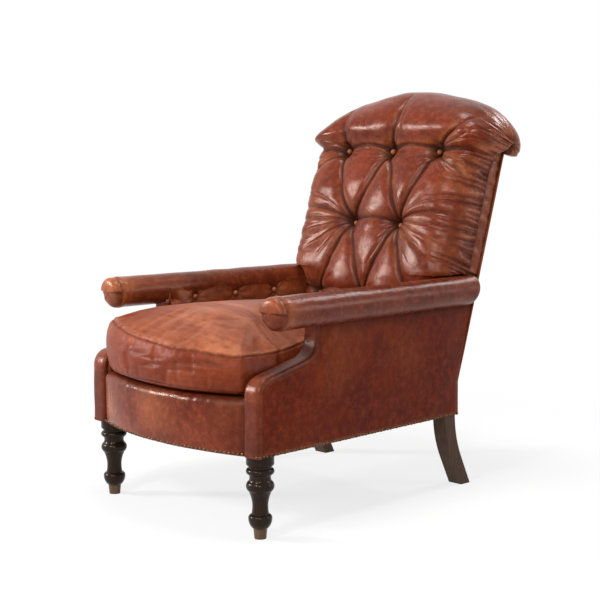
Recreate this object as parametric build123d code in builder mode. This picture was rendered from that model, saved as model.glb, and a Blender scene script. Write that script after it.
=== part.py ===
from build123d import *
import math
import os

# Easy chair with a deep-buttoned scroll back, low rolled arms and a loose bow-fronted seat cushion.
# Millimetres, +Z up. The sitter faces -Y and +X is the sitter's left.
# The origin is on the floor, under the middle of the overall width and depth.

# Plan of the seat, over the leather
side_front_x = 295  # half width at the front corners
side_rear_x = 266  # half width at the rear corners
front_y = -413  # front face of the arm facings
rear_y = 262  # outside back, below the bend of the posts
front_bow = 45  # how far the front border bows out in front of the facings

# Heights above the floor
leather_base = 182  # lower edge of the leather
rail_base = 187  # underside of the seat rails
deck_height = 298  # seat platform at the facings
deck_slope = 2  # degrees down towards the back
knee_height = 262  # where the outside back starts to lean
back_lean = 16.3  # degrees

# Clearances
gap = 0.3  # between pieces that lie against each other
fit = 0.05  # play round dowels and tenons

# Wooden frame
front_rail_thickness = 45
front_rail_bow = 35
rail_thickness = 30
post_x = 237.5  # middle of each rear post
post_width = 39
post_depth = 36
post_top = 520  # along the lean, under the crest rail
sabre_bend = 125  # height where the rear legs start to sweep back
sabre_radius = 260
foot_y = 302  # middle of the rear feet
foot_depth = 33
crest_height = 120  # at the middle of the arch
lower_rail_rise = 60  # lower back rail, above the lower edge of the pad
lower_rail_height = 50
stump_rear = 250  # back edge of the arm stumps, from the facing
stump_play = 2  # between the stumps and the front rail
stump_dowel_inset = 35  # from the front rail and from the back edge of the stumps
arm_rail_width = 36
arm_rail_height = 28
arm_rail_drop = 25  # underside, below the middle of the arm rolls
arm_rail_inset = 10  # middle of the arm rails, from the leather side
dowel_radius = 5
dowel_length = 50
block_leg = 70  # corner blocks
block_height = 45

# Turned front legs, from the floor up
leg_x = 262
peg_tip_radius = 13
peg_root_radius = 15
peg_height = 22
peg_step = 1  # from the peg out to the ankle
ankle_radius = 25.7
ankle_rise = 22  # from the peg up to the ankle ring's widest point
ankle_top = 9  # from there up to the neck
ankle_swell = 2.5  # fullness under the ankle ring
ankle_round = 2.2  # fullness over it
neck_radius = 17
neck_height = 50
neck_flare = 2  # at its foot
neck_drop = 8  # thinnest point, below the middle of the neck
ring_radius = 30.5
big_ring_height = 22
groove_radius = 25
groove_height = 14
groove_hollow = 2
small_ring_height = 14
collar_radius = 30
collar_step = 5
collar_rise = 6  # height of the rounding under the collar
collar_round = 2
shoulder_peg_radius = 19  # between the collar and the rail, inside the leather
tenon_radius = 11
tenon_length = 30

# Seat suspension
webbing_width = 50
webbing_thickness = 2
web_margin = 5  # from the ends of the webs to the edges of the frame
web_lap = 20  # of the back webs over the crest rail
back_web_pitch = 120
back_web_row_pitch = 100
back_web_first = 70  # lowest cross web, above the lower back rail
back_web_rows = 4
back_web_columns = 3
dust_thickness = 1.5
dust_margin = 2
seat_build = 16  # hessian, stuffing and cover, between the rails and the platform
cloth = 1.5  # hessian and platform cover
platform_play = 1  # between the platform and what stands round it
spring_radius = 40
spring_waist = 26
spring_wire = 1.9
spring_turns = 4
spring_count = 3  # across and along
spring_column_pitch = 130
spring_first_y = -285
spring_row_pitch = 165

# Leather pieces
side_padding = 6  # outside arms
facing_padding = 10
facing_width = 45
back_padding = 3.2  # outside back
back_half_width = 270
border_round = 6  # top edge of the front border

# Arms, measured back from the facing and up from the seat platform
shoulder_rise = 43  # corner of the arm front, before it is rounded
shoulder_radius = 38
arm_slope = 12.5  # degrees, rise of the arm front's ledge
throat = 181  # where the arm front turns up to the roll
throat_radius = 48
roll_rise = 182  # middle of the arm rolls
roll_radius = 36.5
roll_inset = 5  # of the roll's axis, from the leather side
roll_front = 34
roll_dome = 20
roll_end = 12  # rear end of the rolls, in front of the outside back
roll_clearance = 1  # between the rolls and the leather under and over them
arm_pad_thickness = 12
arm_pad_drop = 13  # top of the arm pads, below the middle of the rolls
arm_pad_front = 4  # behind the leather of the arm front
arm_pad_seat = 2  # above the seat rails
arm_pad_rear = 612
arm_pad_edge = 9
arm_button_drop = 23  # below the middle of the rolls
arm_button_first = 274
arm_button_pitch = 127
arm_button_count = 3
dimple_play = 1  # round the arm buttons
dimple_flare = 10

# Inside back, along the lean and out from the outside back
pad_crown = 150
pad_top_rise = 23  # crease under the top roll, above the tops of the posts
pad_half_width = 268
pad_edge = 78  # depth of the pad where its sides turn in
pad_neck_half_width = 216  # between the arms
pad_seat = 1.5  # lower edge, above the seat platform
pad_foot_draw = 45  # how far the crown falls back at the lower edge
pad_foot_inset = 12  # how far the sides and edges are drawn in there
pad_swell = 88  # from the lower edge up to where the pad is nearly full
pad_swell_draw = 8
pad_swell_inset = 4
pad_belly = 300  # where the pad is fullest
pad_turn = 83  # from the crease down to where the pad turns in
pad_turn_draw = 4
pad_crease_draw = 8  # of the edges, at the crease
pad_side_swell = 6
pad_shoulder_share = 0.35  # width of the rounded sides, as a share of the depth that they turn in
pad_shoulder_depth = 0.75  # depth where they start, as a share of the same
button_depth = 105
button_drop = 2  # top row, below the crease
button_rows = 3
button_row_pitch = 189
button_pitch = 155
button_radius = 8.5
button_height = 6
button_round = 3
channel_depth = 120
channel_flare = 25  # half width of a pleat where it is widest
tuft_play = 2  # round the back buttons
tuft_flare = 42
tuft_over = 20  # of the funnels, past the crown

# Top roll
roll_half_length = 297
arch_radius = 667
crown_rise = 75  # above the crest rail, at the middle of the arch
crown_depth = 47
roll_back = 42  # overhang behind the outside back
roll_back_drop = 63  # its furthest point, below the crown
roll_front_drop = 130  # its fullest point in front
roll_front_draw = 5  # depth of that point behind the crown of the pad
roll_tuck = 8  # under the crease
lip_drop = 31  # top of the outside back, below the top of the crest rail
lip_tuck = 3
lip_arch = 0.75  # share of the arch that the lip follows
front_arch = 0.4  # share that the front follows
eye_drop = 95  # middle of the ends, below the crown
eye_depth = 45
eye_arch = 0.8
lip_swell = 9
back_swell = 22
crown_swell = 26
front_swell = 4
roll_full_share = 0.6  # of the half length, before the roll is drawn in
roll_turn_share = 0.93
roll_turn_size = 0.95
roll_end_size = 0.62

# Loose cushion, in the plane of the seat platform
cushion_front_half = 230
cushion_rear_half = 206
cushion_front_corner = 2  # from the facing, at the corners
cushion_bow = 74
cushion_depth = 556  # from the facing to the back edge
cushion_draw = 5  # how far sides and back are drawn in
cushion_border = 104  # height of the border between its seams
cushion_seam = 13  # height of the lower seam
cushion_crown = 34  # rise of the top above its seam
cushion_tuck = 44  # how far the underside is drawn in from the border
seam_draw = 7  # how far the seams are drawn in from the border
crown_share = 0.66  # rise of the haunch, as a share of the crown
haunch_inset = 62
crown_inset = 150
case_wall = 3  # thickness of the leather case

# Shared planes and places
lean = math.radians(back_lean)
slope = math.radians(deck_slope)
side_run = Vector(side_rear_x - side_front_x, rear_y - front_y, 0).normalized()
side_out = Vector(side_run.Y, -side_run.X, 0)
left_side = Plane(origin=(side_front_x, front_y, 0), x_dir=side_run, z_dir=side_out)
back = Plane(
    origin=(0, rear_y, knee_height),
    x_dir=(1, 0, 0),
    z_dir=(0, -math.cos(lean), math.sin(lean)),
)
deck = Plane(
    origin=(0, front_y, deck_height),
    x_dir=(1, 0, 0),
    z_dir=(0, math.sin(slope), math.cos(slope)),
)
shoulder_height = deck_height + shoulder_rise
roll_height = deck_height + roll_rise
arm_pad_top = roll_height - arm_pad_drop
arm_button_height = roll_height - arm_button_drop
arm_rail_low = roll_height - arm_rail_drop
arm_top = roll_height + roll_radius + roll_clearance
under_roll = roll_height - roll_radius - roll_clearance
crest_half = post_x + post_width / 2
crest_top = post_top + crest_height
crown_height = crest_top + crown_rise
lip_height = crest_top - lip_drop
pad_top = post_top + pad_top_rise
button_top_row = pad_top - button_drop
post_rear = back_padding + gap
post_front = post_rear + post_depth
wood_out = side_padding + gap  # outer face of the side rails and stumps, from the leather
wood_in = wood_out + rail_thickness
rail_front_y = front_y + facing_padding + gap
rail_rear_y = rail_front_y + front_rail_thickness
leg_y = rail_front_y + front_rail_thickness / 2
post_front_y = rear_y - post_front
rail_mid_y = rear_y - (post_rear + post_front) / 2
stump_inset = facing_padding + gap  # front edge of the arm stumps, from the leather
hessian_depth = post_front + 2 * webbing_thickness
pad_back = hessian_depth + cloth + gap
platform_rear = deck_height - (post_front_y - front_y) * math.tan(slope)
pad_low = (platform_rear + pad_seat - knee_height - pad_back * math.sin(lean)) / math.cos(lean)
lower_rail_low = pad_low + lower_rail_rise


def side_x(y, inward):
    """X of the left side at depth y, measured inward from its leather face."""
    taper = (side_rear_x - side_front_x) / (rear_y - front_y)
    return side_front_x + (y - front_y) * taper - inward / side_run.Y


def along(y):
    """Distance back along the side of the chair at depth y."""
    return (y - front_y) / side_run.Y


def rail_top(y):
    """Height of the top of the seat rails at depth y, which follows the platform."""
    return deck_height - (y - front_y) * math.tan(slope) - seat_build - gap


def arch_drop(x):
    """How far the arched top has dropped at a distance x from its middle."""
    return arch_radius - math.sqrt(arch_radius**2 - x**2)


def knee(depth):
    """Height of the bend in a line that lies a given depth in front of the outside back."""
    return knee_height + depth * math.tan(lean / 2)


def lean_point(along_lean, depth):
    """Y and Z of a point on the leaning back."""
    point = back.from_local_coords(Vector(0, along_lean, depth))
    return point.Y, point.Z


def back_section(x):
    """Cross section of the back at x: local x is depth in front of the outside back, local y runs up."""
    return Plane(origin=(x, rear_y, knee_height), x_dir=back.z_dir, z_dir=(-1, 0, 0))


def arm_front_line(inset):
    """Points of the S-curved arm front, moved in from its leather face."""
    rise = math.tan(math.radians(arm_slope))
    ledge = shoulder_height - inset / math.cos(math.radians(arm_slope))
    return [(inset, ledge + inset * rise), (throat + inset, ledge + (throat + inset) * rise)]


def round_arm_front(sketch, line, inset, low, high):
    """Round the shoulder and the throat of an arm outline, each within the wall that it runs into."""
    reach = math.tan(math.radians(90 - arm_slope) / 2)
    corners = (
        (line[0], shoulder_radius - inset, line[0][1] - low),
        (line[1], throat_radius + inset, high - line[1][1]),
    )
    for place, radius, wall in corners:
        corner = sketch.vertices().sort_by_distance(place)[0]
        fillet(corner, min(radius, (wall - gap) / reach))


# Dowels, each on a plane whose normal is the dowel and whose origin is the joint face
side_rail_mid = (wood_out + wood_in) / 2
seat_dowels = []
front_low = rail_base + tenon_length
front_room = rail_top(rail_rear_y) - front_low
rear_room = rail_top(post_front_y) - rail_base
for side in (1, -1):
    for share in (0.25, 0.75):
        front_joint = (side * side_x(rail_rear_y, side_rail_mid), rail_rear_y, front_low + share * front_room)
        rear_level = rail_base + share * rear_room
        rear_joint = (side * side_x(post_front_y, side_rail_mid), post_front_y, rear_level)
        seat_dowels.append(Plane(front_joint, z_dir=(0, 1, 0)))
        seat_dowels.append(Plane(rear_joint, z_dir=(0, 1, 0)))
        inner_face = side * (post_x - post_width / 2)
        seat_dowels.append(Plane((inner_face, rail_mid_y, rear_level), z_dir=(1, 0, 0)))
back_dowels = []
for side in (1, -1):
    for step in (-0.25, 0.25):
        foot = back.from_local_coords(
            Vector(side * post_x + step * post_width, post_top, (post_rear + post_front) / 2)
        )
        back_dowels.append(Plane(foot, z_dir=back.y_dir))
    for step in (0.25, 0.75):
        end = back.from_local_coords(
            Vector(
                side * (post_x - post_width / 2),
                lower_rail_low + step * lower_rail_height,
                (post_rear + post_front) / 2,
            )
        )
        back_dowels.append(Plane(end, z_dir=(1, 0, 0)))
stump_dowel_ys = (rail_rear_y + stump_dowel_inset, front_y + stump_rear - stump_dowel_inset)
arm_seat_y = front_y + (throat + stump_rear) / 2
arm_seat_inset = (wood_out + arm_rail_inset + arm_rail_width / 2) / 2
arm_dowels = []
for side in (1, -1):
    for y in stump_dowel_ys:
        arm_dowels.append(Plane((side * side_x(y, side_rail_mid), y, rail_top(y)), z_dir=(0, 0, 1)))
    arm_joint = (side * side_x(arm_seat_y, arm_seat_inset), arm_seat_y, arm_rail_low)
    arm_dowels.append(Plane(arm_joint, z_dir=(0, 0, 1)))


def dowel_bores(planes):
    """Cut the bores for a set of dowels in the part being built."""
    with Locations(*planes):
        Cylinder(dowel_radius + fit, dowel_length + 2 * gap, mode=Mode.SUBTRACT)


# Turned front legs
leg_plane = Plane(origin=(leg_x, leg_y, 0), x_dir=(1, 0, 0), z_dir=(0, -1, 0))
ankle_z = peg_height + ankle_rise
ankle_root = peg_root_radius + peg_step
ring_stand = ring_radius - groove_radius
neck_low = ankle_z + ankle_top
neck_root = neck_radius + neck_flare
neck_thin = neck_low + neck_height / 2 - neck_drop
big_ring_low = neck_low + neck_height
big_ring_top = big_ring_low + big_ring_height
small_ring_low = big_ring_top + groove_height
small_ring_top = small_ring_low + small_ring_height
collar_low = small_ring_top + collar_step
collar_full = collar_low + collar_rise
collar_top = leather_base - dust_thickness / 2 - gap

with BuildPart() as front_leg_left:
    with BuildSketch(leg_plane):
        with BuildLine():
            Polyline(
                (0, rail_base + tenon_length), (0, 0), (peg_tip_radius, 0), (peg_root_radius, peg_height),
                (ankle_root, peg_height),
            )
            SagittaArc((ankle_root, peg_height), (ankle_radius, ankle_z), -ankle_swell)
            SagittaArc((ankle_radius, ankle_z), (neck_root, neck_low), -ankle_round)
            ThreePointArc((neck_root, neck_low), (neck_radius, neck_thin), (groove_radius, big_ring_low))
            SagittaArc((groove_radius, big_ring_low), (groove_radius, big_ring_top), -ring_stand)
            SagittaArc((groove_radius, big_ring_top), (groove_radius, small_ring_low), groove_hollow)
            SagittaArc((groove_radius, small_ring_low), (groove_radius, small_ring_top), -ring_stand)
            Polyline((groove_radius, small_ring_top), (groove_radius, collar_low))
            SagittaArc((groove_radius, collar_low), (collar_radius, collar_full), -collar_round)
            Polyline(
                (collar_radius, collar_full), (collar_radius, collar_top), (shoulder_peg_radius, collar_top),
                (shoulder_peg_radius, rail_base), (tenon_radius, rail_base),
                (tenon_radius, rail_base + tenon_length), (0, rail_base + tenon_length),
            )
        make_face()
    revolve(axis=Axis((leg_x, leg_y, 0), (0, 0, 1)))

with BuildPart() as front_leg_right:
    mirror(front_leg_left.part, about=Plane.YZ)

# Rear posts: swept-back leg below the seat, leaning back post above it
with BuildPart() as rear_post_left:
    with BuildSketch(Plane.YZ.offset(post_x - post_width / 2)) as post_outline:
        bends = [(rear_y - post_front, sabre_bend), (rear_y - post_rear, sabre_bend)]
        with BuildLine():
            Polyline(
                (foot_y - foot_depth / 2, 0), bends[0], (rear_y - post_front, knee(post_front)),
                lean_point(post_top, post_front), lean_point(post_top, post_rear),
                (rear_y - post_rear, knee(post_rear)), bends[1], (foot_y + foot_depth / 2, 0),
                close=True,
            )
        make_face()
        for bend in bends:
            fillet(post_outline.vertices().sort_by_distance(bend)[0], sabre_radius)
    extrude(amount=post_width)
    dowel_bores(seat_dowels + back_dowels)

with BuildPart() as rear_post_right:
    mirror(rear_post_left.part, about=Plane.YZ)

# Seat rails
border_half = side_x(rail_front_y, facing_width)
with BuildPart() as front_seat_rail:
    with BuildSketch(Plane.XY.offset(rail_base)):
        front_corner = side_x(rail_front_y, wood_out)
        rear_corner = side_x(rail_rear_y, wood_out)
        with BuildLine():
            Polyline(
                (-border_half, rail_front_y), (-front_corner, rail_front_y), (-rear_corner, rail_rear_y),
                (-border_half, rail_rear_y),
            )
            ThreePointArc(
                (-border_half, rail_rear_y), (0, rail_rear_y - front_rail_bow), (border_half, rail_rear_y)
            )
            Polyline(
                (border_half, rail_rear_y), (rear_corner, rail_rear_y), (front_corner, rail_front_y),
                (border_half, rail_front_y),
            )
            ThreePointArc(
                (border_half, rail_front_y), (0, rail_front_y - front_rail_bow), (-border_half, rail_front_y)
            )
        make_face()
    extrude(amount=rail_top(rail_rear_y) - rail_base)
    with Locations((leg_x, leg_y, rail_base), (-leg_x, leg_y, rail_base)):
        Cylinder(
            tenon_radius + fit, tenon_length + gap, align=(Align.CENTER, Align.CENTER, Align.MIN),
            mode=Mode.SUBTRACT,
        )
    dowel_bores(seat_dowels)

with BuildPart() as side_seat_rail_left:
    with BuildSketch(left_side.offset(-wood_out)):
        with BuildLine():
            Polyline(
                (along(rail_rear_y), rail_base), (along(post_front_y), rail_base),
                (along(post_front_y), rail_top(post_front_y)), (along(rail_rear_y), rail_top(rail_rear_y)),
                close=True,
            )
        make_face()
    extrude(amount=-rail_thickness)
    split(bisect_by=Plane((0, rail_rear_y, 0), z_dir=(0, 1, 0)), keep=Keep.TOP)
    split(bisect_by=Plane((0, post_front_y, 0), z_dir=(0, 1, 0)), keep=Keep.BOTTOM)
    dowel_bores(seat_dowels + arm_dowels)

with BuildPart() as side_seat_rail_right:
    mirror(side_seat_rail_left.part, about=Plane.YZ)

with BuildPart() as rear_seat_rail:
    with BuildSketch(Plane.YZ):
        with BuildLine():
            Polyline(
                (post_front_y, rail_base), (rear_y - post_rear, rail_base),
                (rear_y - post_rear, rail_top(rear_y - post_rear)), (post_front_y, rail_top(post_front_y)),
                close=True,
            )
        make_face()
    extrude(amount=post_x - post_width / 2, both=True)
    dowel_bores(seat_dowels)

with BuildPart() as corner_blocks:
    with BuildSketch(Plane.XY.offset(rail_base)):
        for y, reach in ((rail_rear_y, block_leg), (post_front_y, -block_leg)):
            with BuildLine():
                Polyline(
                    (side_x(y, wood_in), y), (side_x(y, wood_in) - block_leg, y),
                    (side_x(y + reach, wood_in), y + reach), close=True,
                )
            make_face()
        mirror(about=Plane.YZ)
    extrude(amount=block_height)

# Arm frame
with BuildPart() as arm_stump_left:
    front_line = arm_front_line(stump_inset)
    with BuildSketch(left_side.offset(-wood_out)) as stump_outline:
        seat_line = along(rail_rear_y) + stump_play
        stump_low = rail_top(rail_rear_y) + gap
        with BuildLine():
            Polyline(
                (stump_inset, stump_low), *front_line, (throat + stump_inset, arm_rail_low),
                (stump_rear, arm_rail_low), (stump_rear, rail_top(front_y + stump_rear * side_run.Y)),
                (seat_line, rail_top(rail_rear_y)), (seat_line, stump_low), close=True,
            )
        make_face()
        round_arm_front(stump_outline, front_line, stump_inset, stump_low, arm_rail_low)
    extrude(amount=-rail_thickness)
    dowel_bores(arm_dowels)

with BuildPart() as arm_stump_right:
    mirror(arm_stump_left.part, about=Plane.YZ)

roll_reach = along(rear_y) + (arm_top - knee_height) * math.tan(lean)  # past the outside back
with BuildPart() as arm_rail_left:
    with BuildSketch(left_side.offset(arm_rail_width / 2 - arm_rail_inset)):
        with BuildLine():
            Polyline(
                (roll_front + roll_dome, arm_rail_low), (roll_reach, arm_rail_low),
                (roll_reach, arm_rail_low + arm_rail_height),
                (roll_front + roll_dome, arm_rail_low + arm_rail_height), close=True,
            )
        make_face()
    extrude(amount=-arm_rail_width)
    split(bisect_by=back.offset(post_front), keep=Keep.TOP)
    dowel_bores(arm_dowels)

with BuildPart() as arm_rail_right:
    mirror(arm_rail_left.part, about=Plane.YZ)

# Back frame
with BuildPart() as crest_rail:
    with BuildSketch(back.offset(post_rear)):
        with BuildLine():
            Polyline(
                (-crest_half, crest_top - arch_drop(crest_half)), (-crest_half, post_top),
                (crest_half, post_top), (crest_half, crest_top - arch_drop(crest_half)),
            )
            ThreePointArc(
                (crest_half, crest_top - arch_drop(crest_half)), (0, crest_top),
                (-crest_half, crest_top - arch_drop(crest_half)),
            )
        make_face()
    extrude(amount=post_depth)
    dowel_bores(back_dowels)

with BuildPart() as lower_back_rail:
    with BuildSketch(back.offset(post_rear)):
        with Locations((0, lower_rail_low + lower_rail_height / 2)):
            Rectangle(2 * post_x - post_width, lower_rail_height)
    extrude(amount=post_depth)
    dowel_bores(back_dowels)

with BuildPart() as frame_dowels:
    with Locations(*seat_dowels, *back_dowels, *arm_dowels):
        Cylinder(dowel_radius, dowel_length)

# Seat suspension: webbing, springs, hessian, stuffing and platform cover
web_front_y = rail_front_y + web_margin
web_rear_y = rear_y - post_rear - web_margin
with BuildPart() as seat_webbing:
    with BuildSketch(Plane.XY.offset(rail_base - webbing_thickness)):
        with Locations((0, (web_front_y + web_rear_y) / 2)):
            with GridLocations(spring_column_pitch / 2, 0, 2 * spring_count - 1, 1):
                Rectangle(webbing_width, web_rear_y - web_front_y)
    extrude(amount=webbing_thickness)
    with BuildSketch(Plane.XY.offset(rail_base - 2 * webbing_thickness)):
        for row in range(2 * spring_count):
            y = spring_first_y + row * spring_row_pitch / 2
            with Locations((0, y)):
                Rectangle(2 * side_x(y + webbing_width / 2, side_rail_mid), webbing_width)
    extrude(amount=webbing_thickness)


def spring_path_point(turn, height):
    """Point of an hourglass spring, a number of turns up from its foot."""
    share = turn / spring_turns
    radius = spring_waist + (spring_radius - spring_waist) * (2 * share - 1) ** 2
    angle = 2 * math.pi * (turn + 0.25)
    rise = spring_wire + share * (height - 2 * spring_wire)
    return Vector(radius * math.cos(angle), radius * math.sin(angle), rise)


with BuildPart() as seat_springs:
    for row in range(spring_count):
        y = spring_first_y + row * spring_row_pitch
        height = rail_top(y + spring_radius) - rail_base
        with BuildPart(mode=Mode.PRIVATE) as spring:
            with BuildLine() as coil:
                for quarter in range(4 * spring_turns):
                    start, middle, end = (spring_path_point((quarter + k / 2) / 4, height) for k in range(3))
                    ThreePointArc(start, middle, end)
            with BuildSketch(Plane(origin=coil.line @ 0, z_dir=coil.line % 0)):
                Circle(spring_wire)
            sweep()
        with Locations((0, y, rail_base)):
            with GridLocations(spring_column_pitch, 0, spring_count, 1):
                add(spring.part)

seat_front = rail_front_y - front_y


def platform(height):
    """Bow-fronted outline between the arms, at a height from the top of the platform."""
    front_half = side_x(rail_front_y, wood_in + arm_pad_thickness) - platform_play
    rear_half = side_x(post_front_y, wood_in + arm_pad_thickness) - platform_play
    rear_edge = post_front_y - front_y - 2 * platform_play
    with BuildSketch(deck.offset(height)) as outline:
        with BuildLine():
            bow_front = seat_front - front_rail_bow + platform_play
            ThreePointArc((-front_half, seat_front), (0, bow_front), (front_half, seat_front))
            Polyline(
                (front_half, seat_front), (rear_half, rear_edge), (-rear_half, rear_edge),
                (-front_half, seat_front),
            )
        make_face()
    return outline.sketch


with BuildPart() as seat_hessian:
    extrude(platform(-seat_build), amount=cloth)

with BuildPart() as seat_stuffing:
    extrude(platform(cloth + gap - seat_build), amount=seat_build - 2 * cloth - 3 * gap)

with BuildPart() as seat_platform_cover:
    extrude(platform(-cloth - gap), amount=cloth)

with BuildPart() as dust_cover:
    dust_inset = side_padding + dust_margin
    with BuildSketch(Plane.XY.offset(leather_base - dust_thickness / 2)) as dust_outline:
        dust_front = rail_front_y + dust_margin
        dust_rear = rear_y - post_rear
        with BuildLine():
            ThreePointArc(
                (-border_half, dust_front), (0, dust_front - front_rail_bow), (border_half, dust_front)
            )
            Polyline(
                (border_half, dust_front), (side_x(dust_front, dust_inset), dust_front),
                (side_x(dust_rear, dust_inset), dust_rear), (-side_x(dust_rear, dust_inset), dust_rear),
                (-side_x(dust_front, dust_inset), dust_front), (-border_half, dust_front),
            )
        make_face()
        with Locations((leg_x, leg_y), (-leg_x, leg_y)):
            Circle(shoulder_peg_radius + dust_margin, mode=Mode.SUBTRACT)
        with Locations((post_x, rail_mid_y), (-post_x, rail_mid_y)):
            Rectangle(post_width + dust_margin, post_depth + 3 * dust_margin, mode=Mode.SUBTRACT)
    extrude(amount=dust_thickness)

# Back suspension
back_web_half = post_x - web_margin
back_web_top = post_top + web_lap
back_web_low = lower_rail_low + lower_rail_height + back_web_first
with BuildPart() as back_webbing:
    with BuildSketch(back.offset(post_front)):
        for row in range(back_web_rows):
            with Locations((0, back_web_low + row * back_web_row_pitch)):
                Rectangle(2 * back_web_half, webbing_width)
    extrude(amount=webbing_thickness)
    with BuildSketch(back.offset(post_front + webbing_thickness)):
        with Locations((0, (lower_rail_low + back_web_top) / 2)):
            with GridLocations(back_web_pitch, 0, back_web_columns, 1):
                Rectangle(webbing_width, back_web_top - lower_rail_low)
    extrude(amount=webbing_thickness)

with BuildPart() as back_hessian:
    with BuildSketch(back.offset(hessian_depth)):
        with Locations((0, (lower_rail_low + back_web_top) / 2)):
            Rectangle(2 * back_web_half, back_web_top - lower_rail_low)
    extrude(amount=cloth)

# Deep-buttoned inside back
def pad_slice(height, crown, edge, half):
    """Slice across the inside back: flat behind, crowned in front, with rounded sides."""
    level = Plane(back.from_local_coords(Vector(0, height, 0)), x_dir=(1, 0, 0), z_dir=back.y_dir)
    with BuildSketch(level) as outline:
        with BuildLine():
            Polyline((half, -edge), (half, -pad_back), (-half, -pad_back), (-half, -edge))
            shoulder = half - pad_shoulder_share * (crown - edge)
            front = edge + pad_shoulder_depth * (crown - edge)
            SagittaArc((-half, -edge), (-shoulder, -front), -pad_side_swell)
            ThreePointArc((-shoulder, -front), (0, -crown), (shoulder, -front))
            SagittaArc((shoulder, -front), (half, -edge), -pad_side_swell)
        make_face()
    return outline.sketch


back_buttons_at = []
for row in range(button_rows):
    across = (-0.5, 0.5) if row % 2 else (-1, 0, 1)
    for column in across:
        back_buttons_at.append((column * button_pitch, button_top_row - row * button_row_pitch))


def back_button_planes(depth):
    """Planes that face the sitter at each back button, a given depth in front of the outside back."""
    return [
        Plane(back.from_local_coords(Vector(x, height, depth)), x_dir=(1, 0, 0), z_dir=back.z_dir)
        for x, height in back_buttons_at
    ]


def channel(start, end):
    """Cut a pleat as a V between two places on the inside back."""
    first = back.from_local_coords(Vector(start[0], start[1], channel_depth))
    last = back.from_local_coords(Vector(end[0], end[1], channel_depth))
    run = last - first
    with BuildSketch(Plane(first, x_dir=back.z_dir.cross(run.normalized()), z_dir=run)) as section:
        with BuildLine():
            Polyline((0, 0), (channel_flare, pad_crown), (-channel_flare, pad_crown), close=True)
        make_face()
    extrude(section.sketch, amount=run.length, mode=Mode.SUBTRACT)


def tuft_pits():
    """Cut the funnels that the back buttons are pulled into."""
    with Locations(*back_button_planes(button_depth)):
        floor = button_radius + tuft_play
        Cone(
            floor, floor + tuft_flare, pad_crown - button_depth + tuft_over,
            align=(Align.CENTER, Align.CENTER, Align.MIN), mode=Mode.SUBTRACT,
        )


with BuildPart() as inside_back_pad:
    foot_half = pad_half_width - pad_foot_inset
    swell_half = pad_half_width - pad_swell_inset
    loft(
        [
            pad_slice(pad_low, pad_crown - pad_foot_draw, pad_edge - pad_foot_inset, foot_half),
            pad_slice(pad_low + pad_swell, pad_crown - pad_swell_draw, pad_edge, swell_half),
            pad_slice(pad_belly, pad_crown, pad_edge, pad_half_width),
            pad_slice(pad_top - pad_turn, pad_crown - pad_turn_draw, pad_edge, pad_half_width),
            pad_slice(pad_top - gap, channel_depth, pad_edge - pad_crease_draw, pad_half_width),
        ]
    )
    with BuildSketch(Plane.XY.offset(arm_top)):
        wide = 2 * pad_half_width
        with Locations((pad_neck_half_width, rear_y), (-pad_neck_half_width - wide, rear_y)):
            Rectangle(wide, 3 * pad_crown, align=(Align.MIN, Align.CENTER))
    extrude(amount=-arm_top, mode=Mode.SUBTRACT)
    tuft_pits()
    for x, height in back_buttons_at:
        for other_x, other_height in back_buttons_at:
            if abs(height - other_height - button_row_pitch) < 1 and abs(x - other_x) < button_pitch:
                channel((x, height), (other_x, other_height))

with BuildPart() as back_buttons:
    with Locations(*back_button_planes(button_depth + gap)):
        Cylinder(button_radius, button_height, align=(Align.CENTER, Align.CENTER, Align.MIN))
    back_rims = back_buttons.edges().filter_by(GeomType.CIRCLE)
    fillet(back_rims.group_by(Axis(back.origin, back.z_dir))[-1], button_round)


# Arched top roll that scrolls over the crest rail
def roll_slice(x, shrink):
    """Cross section of the top roll at x, drawn in towards its middle at the ends."""
    drop = arch_drop(x)
    middle = Vector(eye_depth, crown_height - eye_drop - eye_arch * drop)

    def pull(depth, height):
        return middle + (Vector(depth, height) - middle) * shrink

    low_rear = pull(back_padding, pad_top - roll_tuck)
    lip = pull(back_padding, lip_height + lip_tuck - lip_arch * drop)
    rear = pull(-roll_back, crown_height - roll_back_drop - drop)
    top = pull(crown_depth, crown_height - drop)
    front = pull(pad_crown - roll_front_draw, crown_height - roll_front_drop - front_arch * drop)
    low_front = pull(channel_depth, pad_top - roll_tuck)
    with BuildSketch(back_section(x)) as outline:
        with BuildLine():
            Line(low_front, low_rear)
            Line(low_rear, lip)
            SagittaArc(lip, rear, lip_swell * shrink)
            SagittaArc(rear, top, back_swell * shrink)
            SagittaArc(top, front, crown_swell * shrink)
            SagittaArc(front, low_front, front_swell * shrink)
        make_face()
    return outline.sketch


def outside_back_outline(grow):
    """Outline of the outside back on the lean, under the top roll, grown all round."""
    half = back_half_width + grow
    side_top = lip_height - lip_arch * arch_drop(back_half_width) + grow
    with BuildSketch(back) as outline:
        with BuildLine():
            Polyline((-half, side_top), (-side_rear_x - grow, 0), (side_rear_x + grow, 0), (half, side_top))
            ThreePointArc((half, side_top), (0, lip_height + grow), (-half, side_top))
        make_face()
    return outline.sketch


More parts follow.
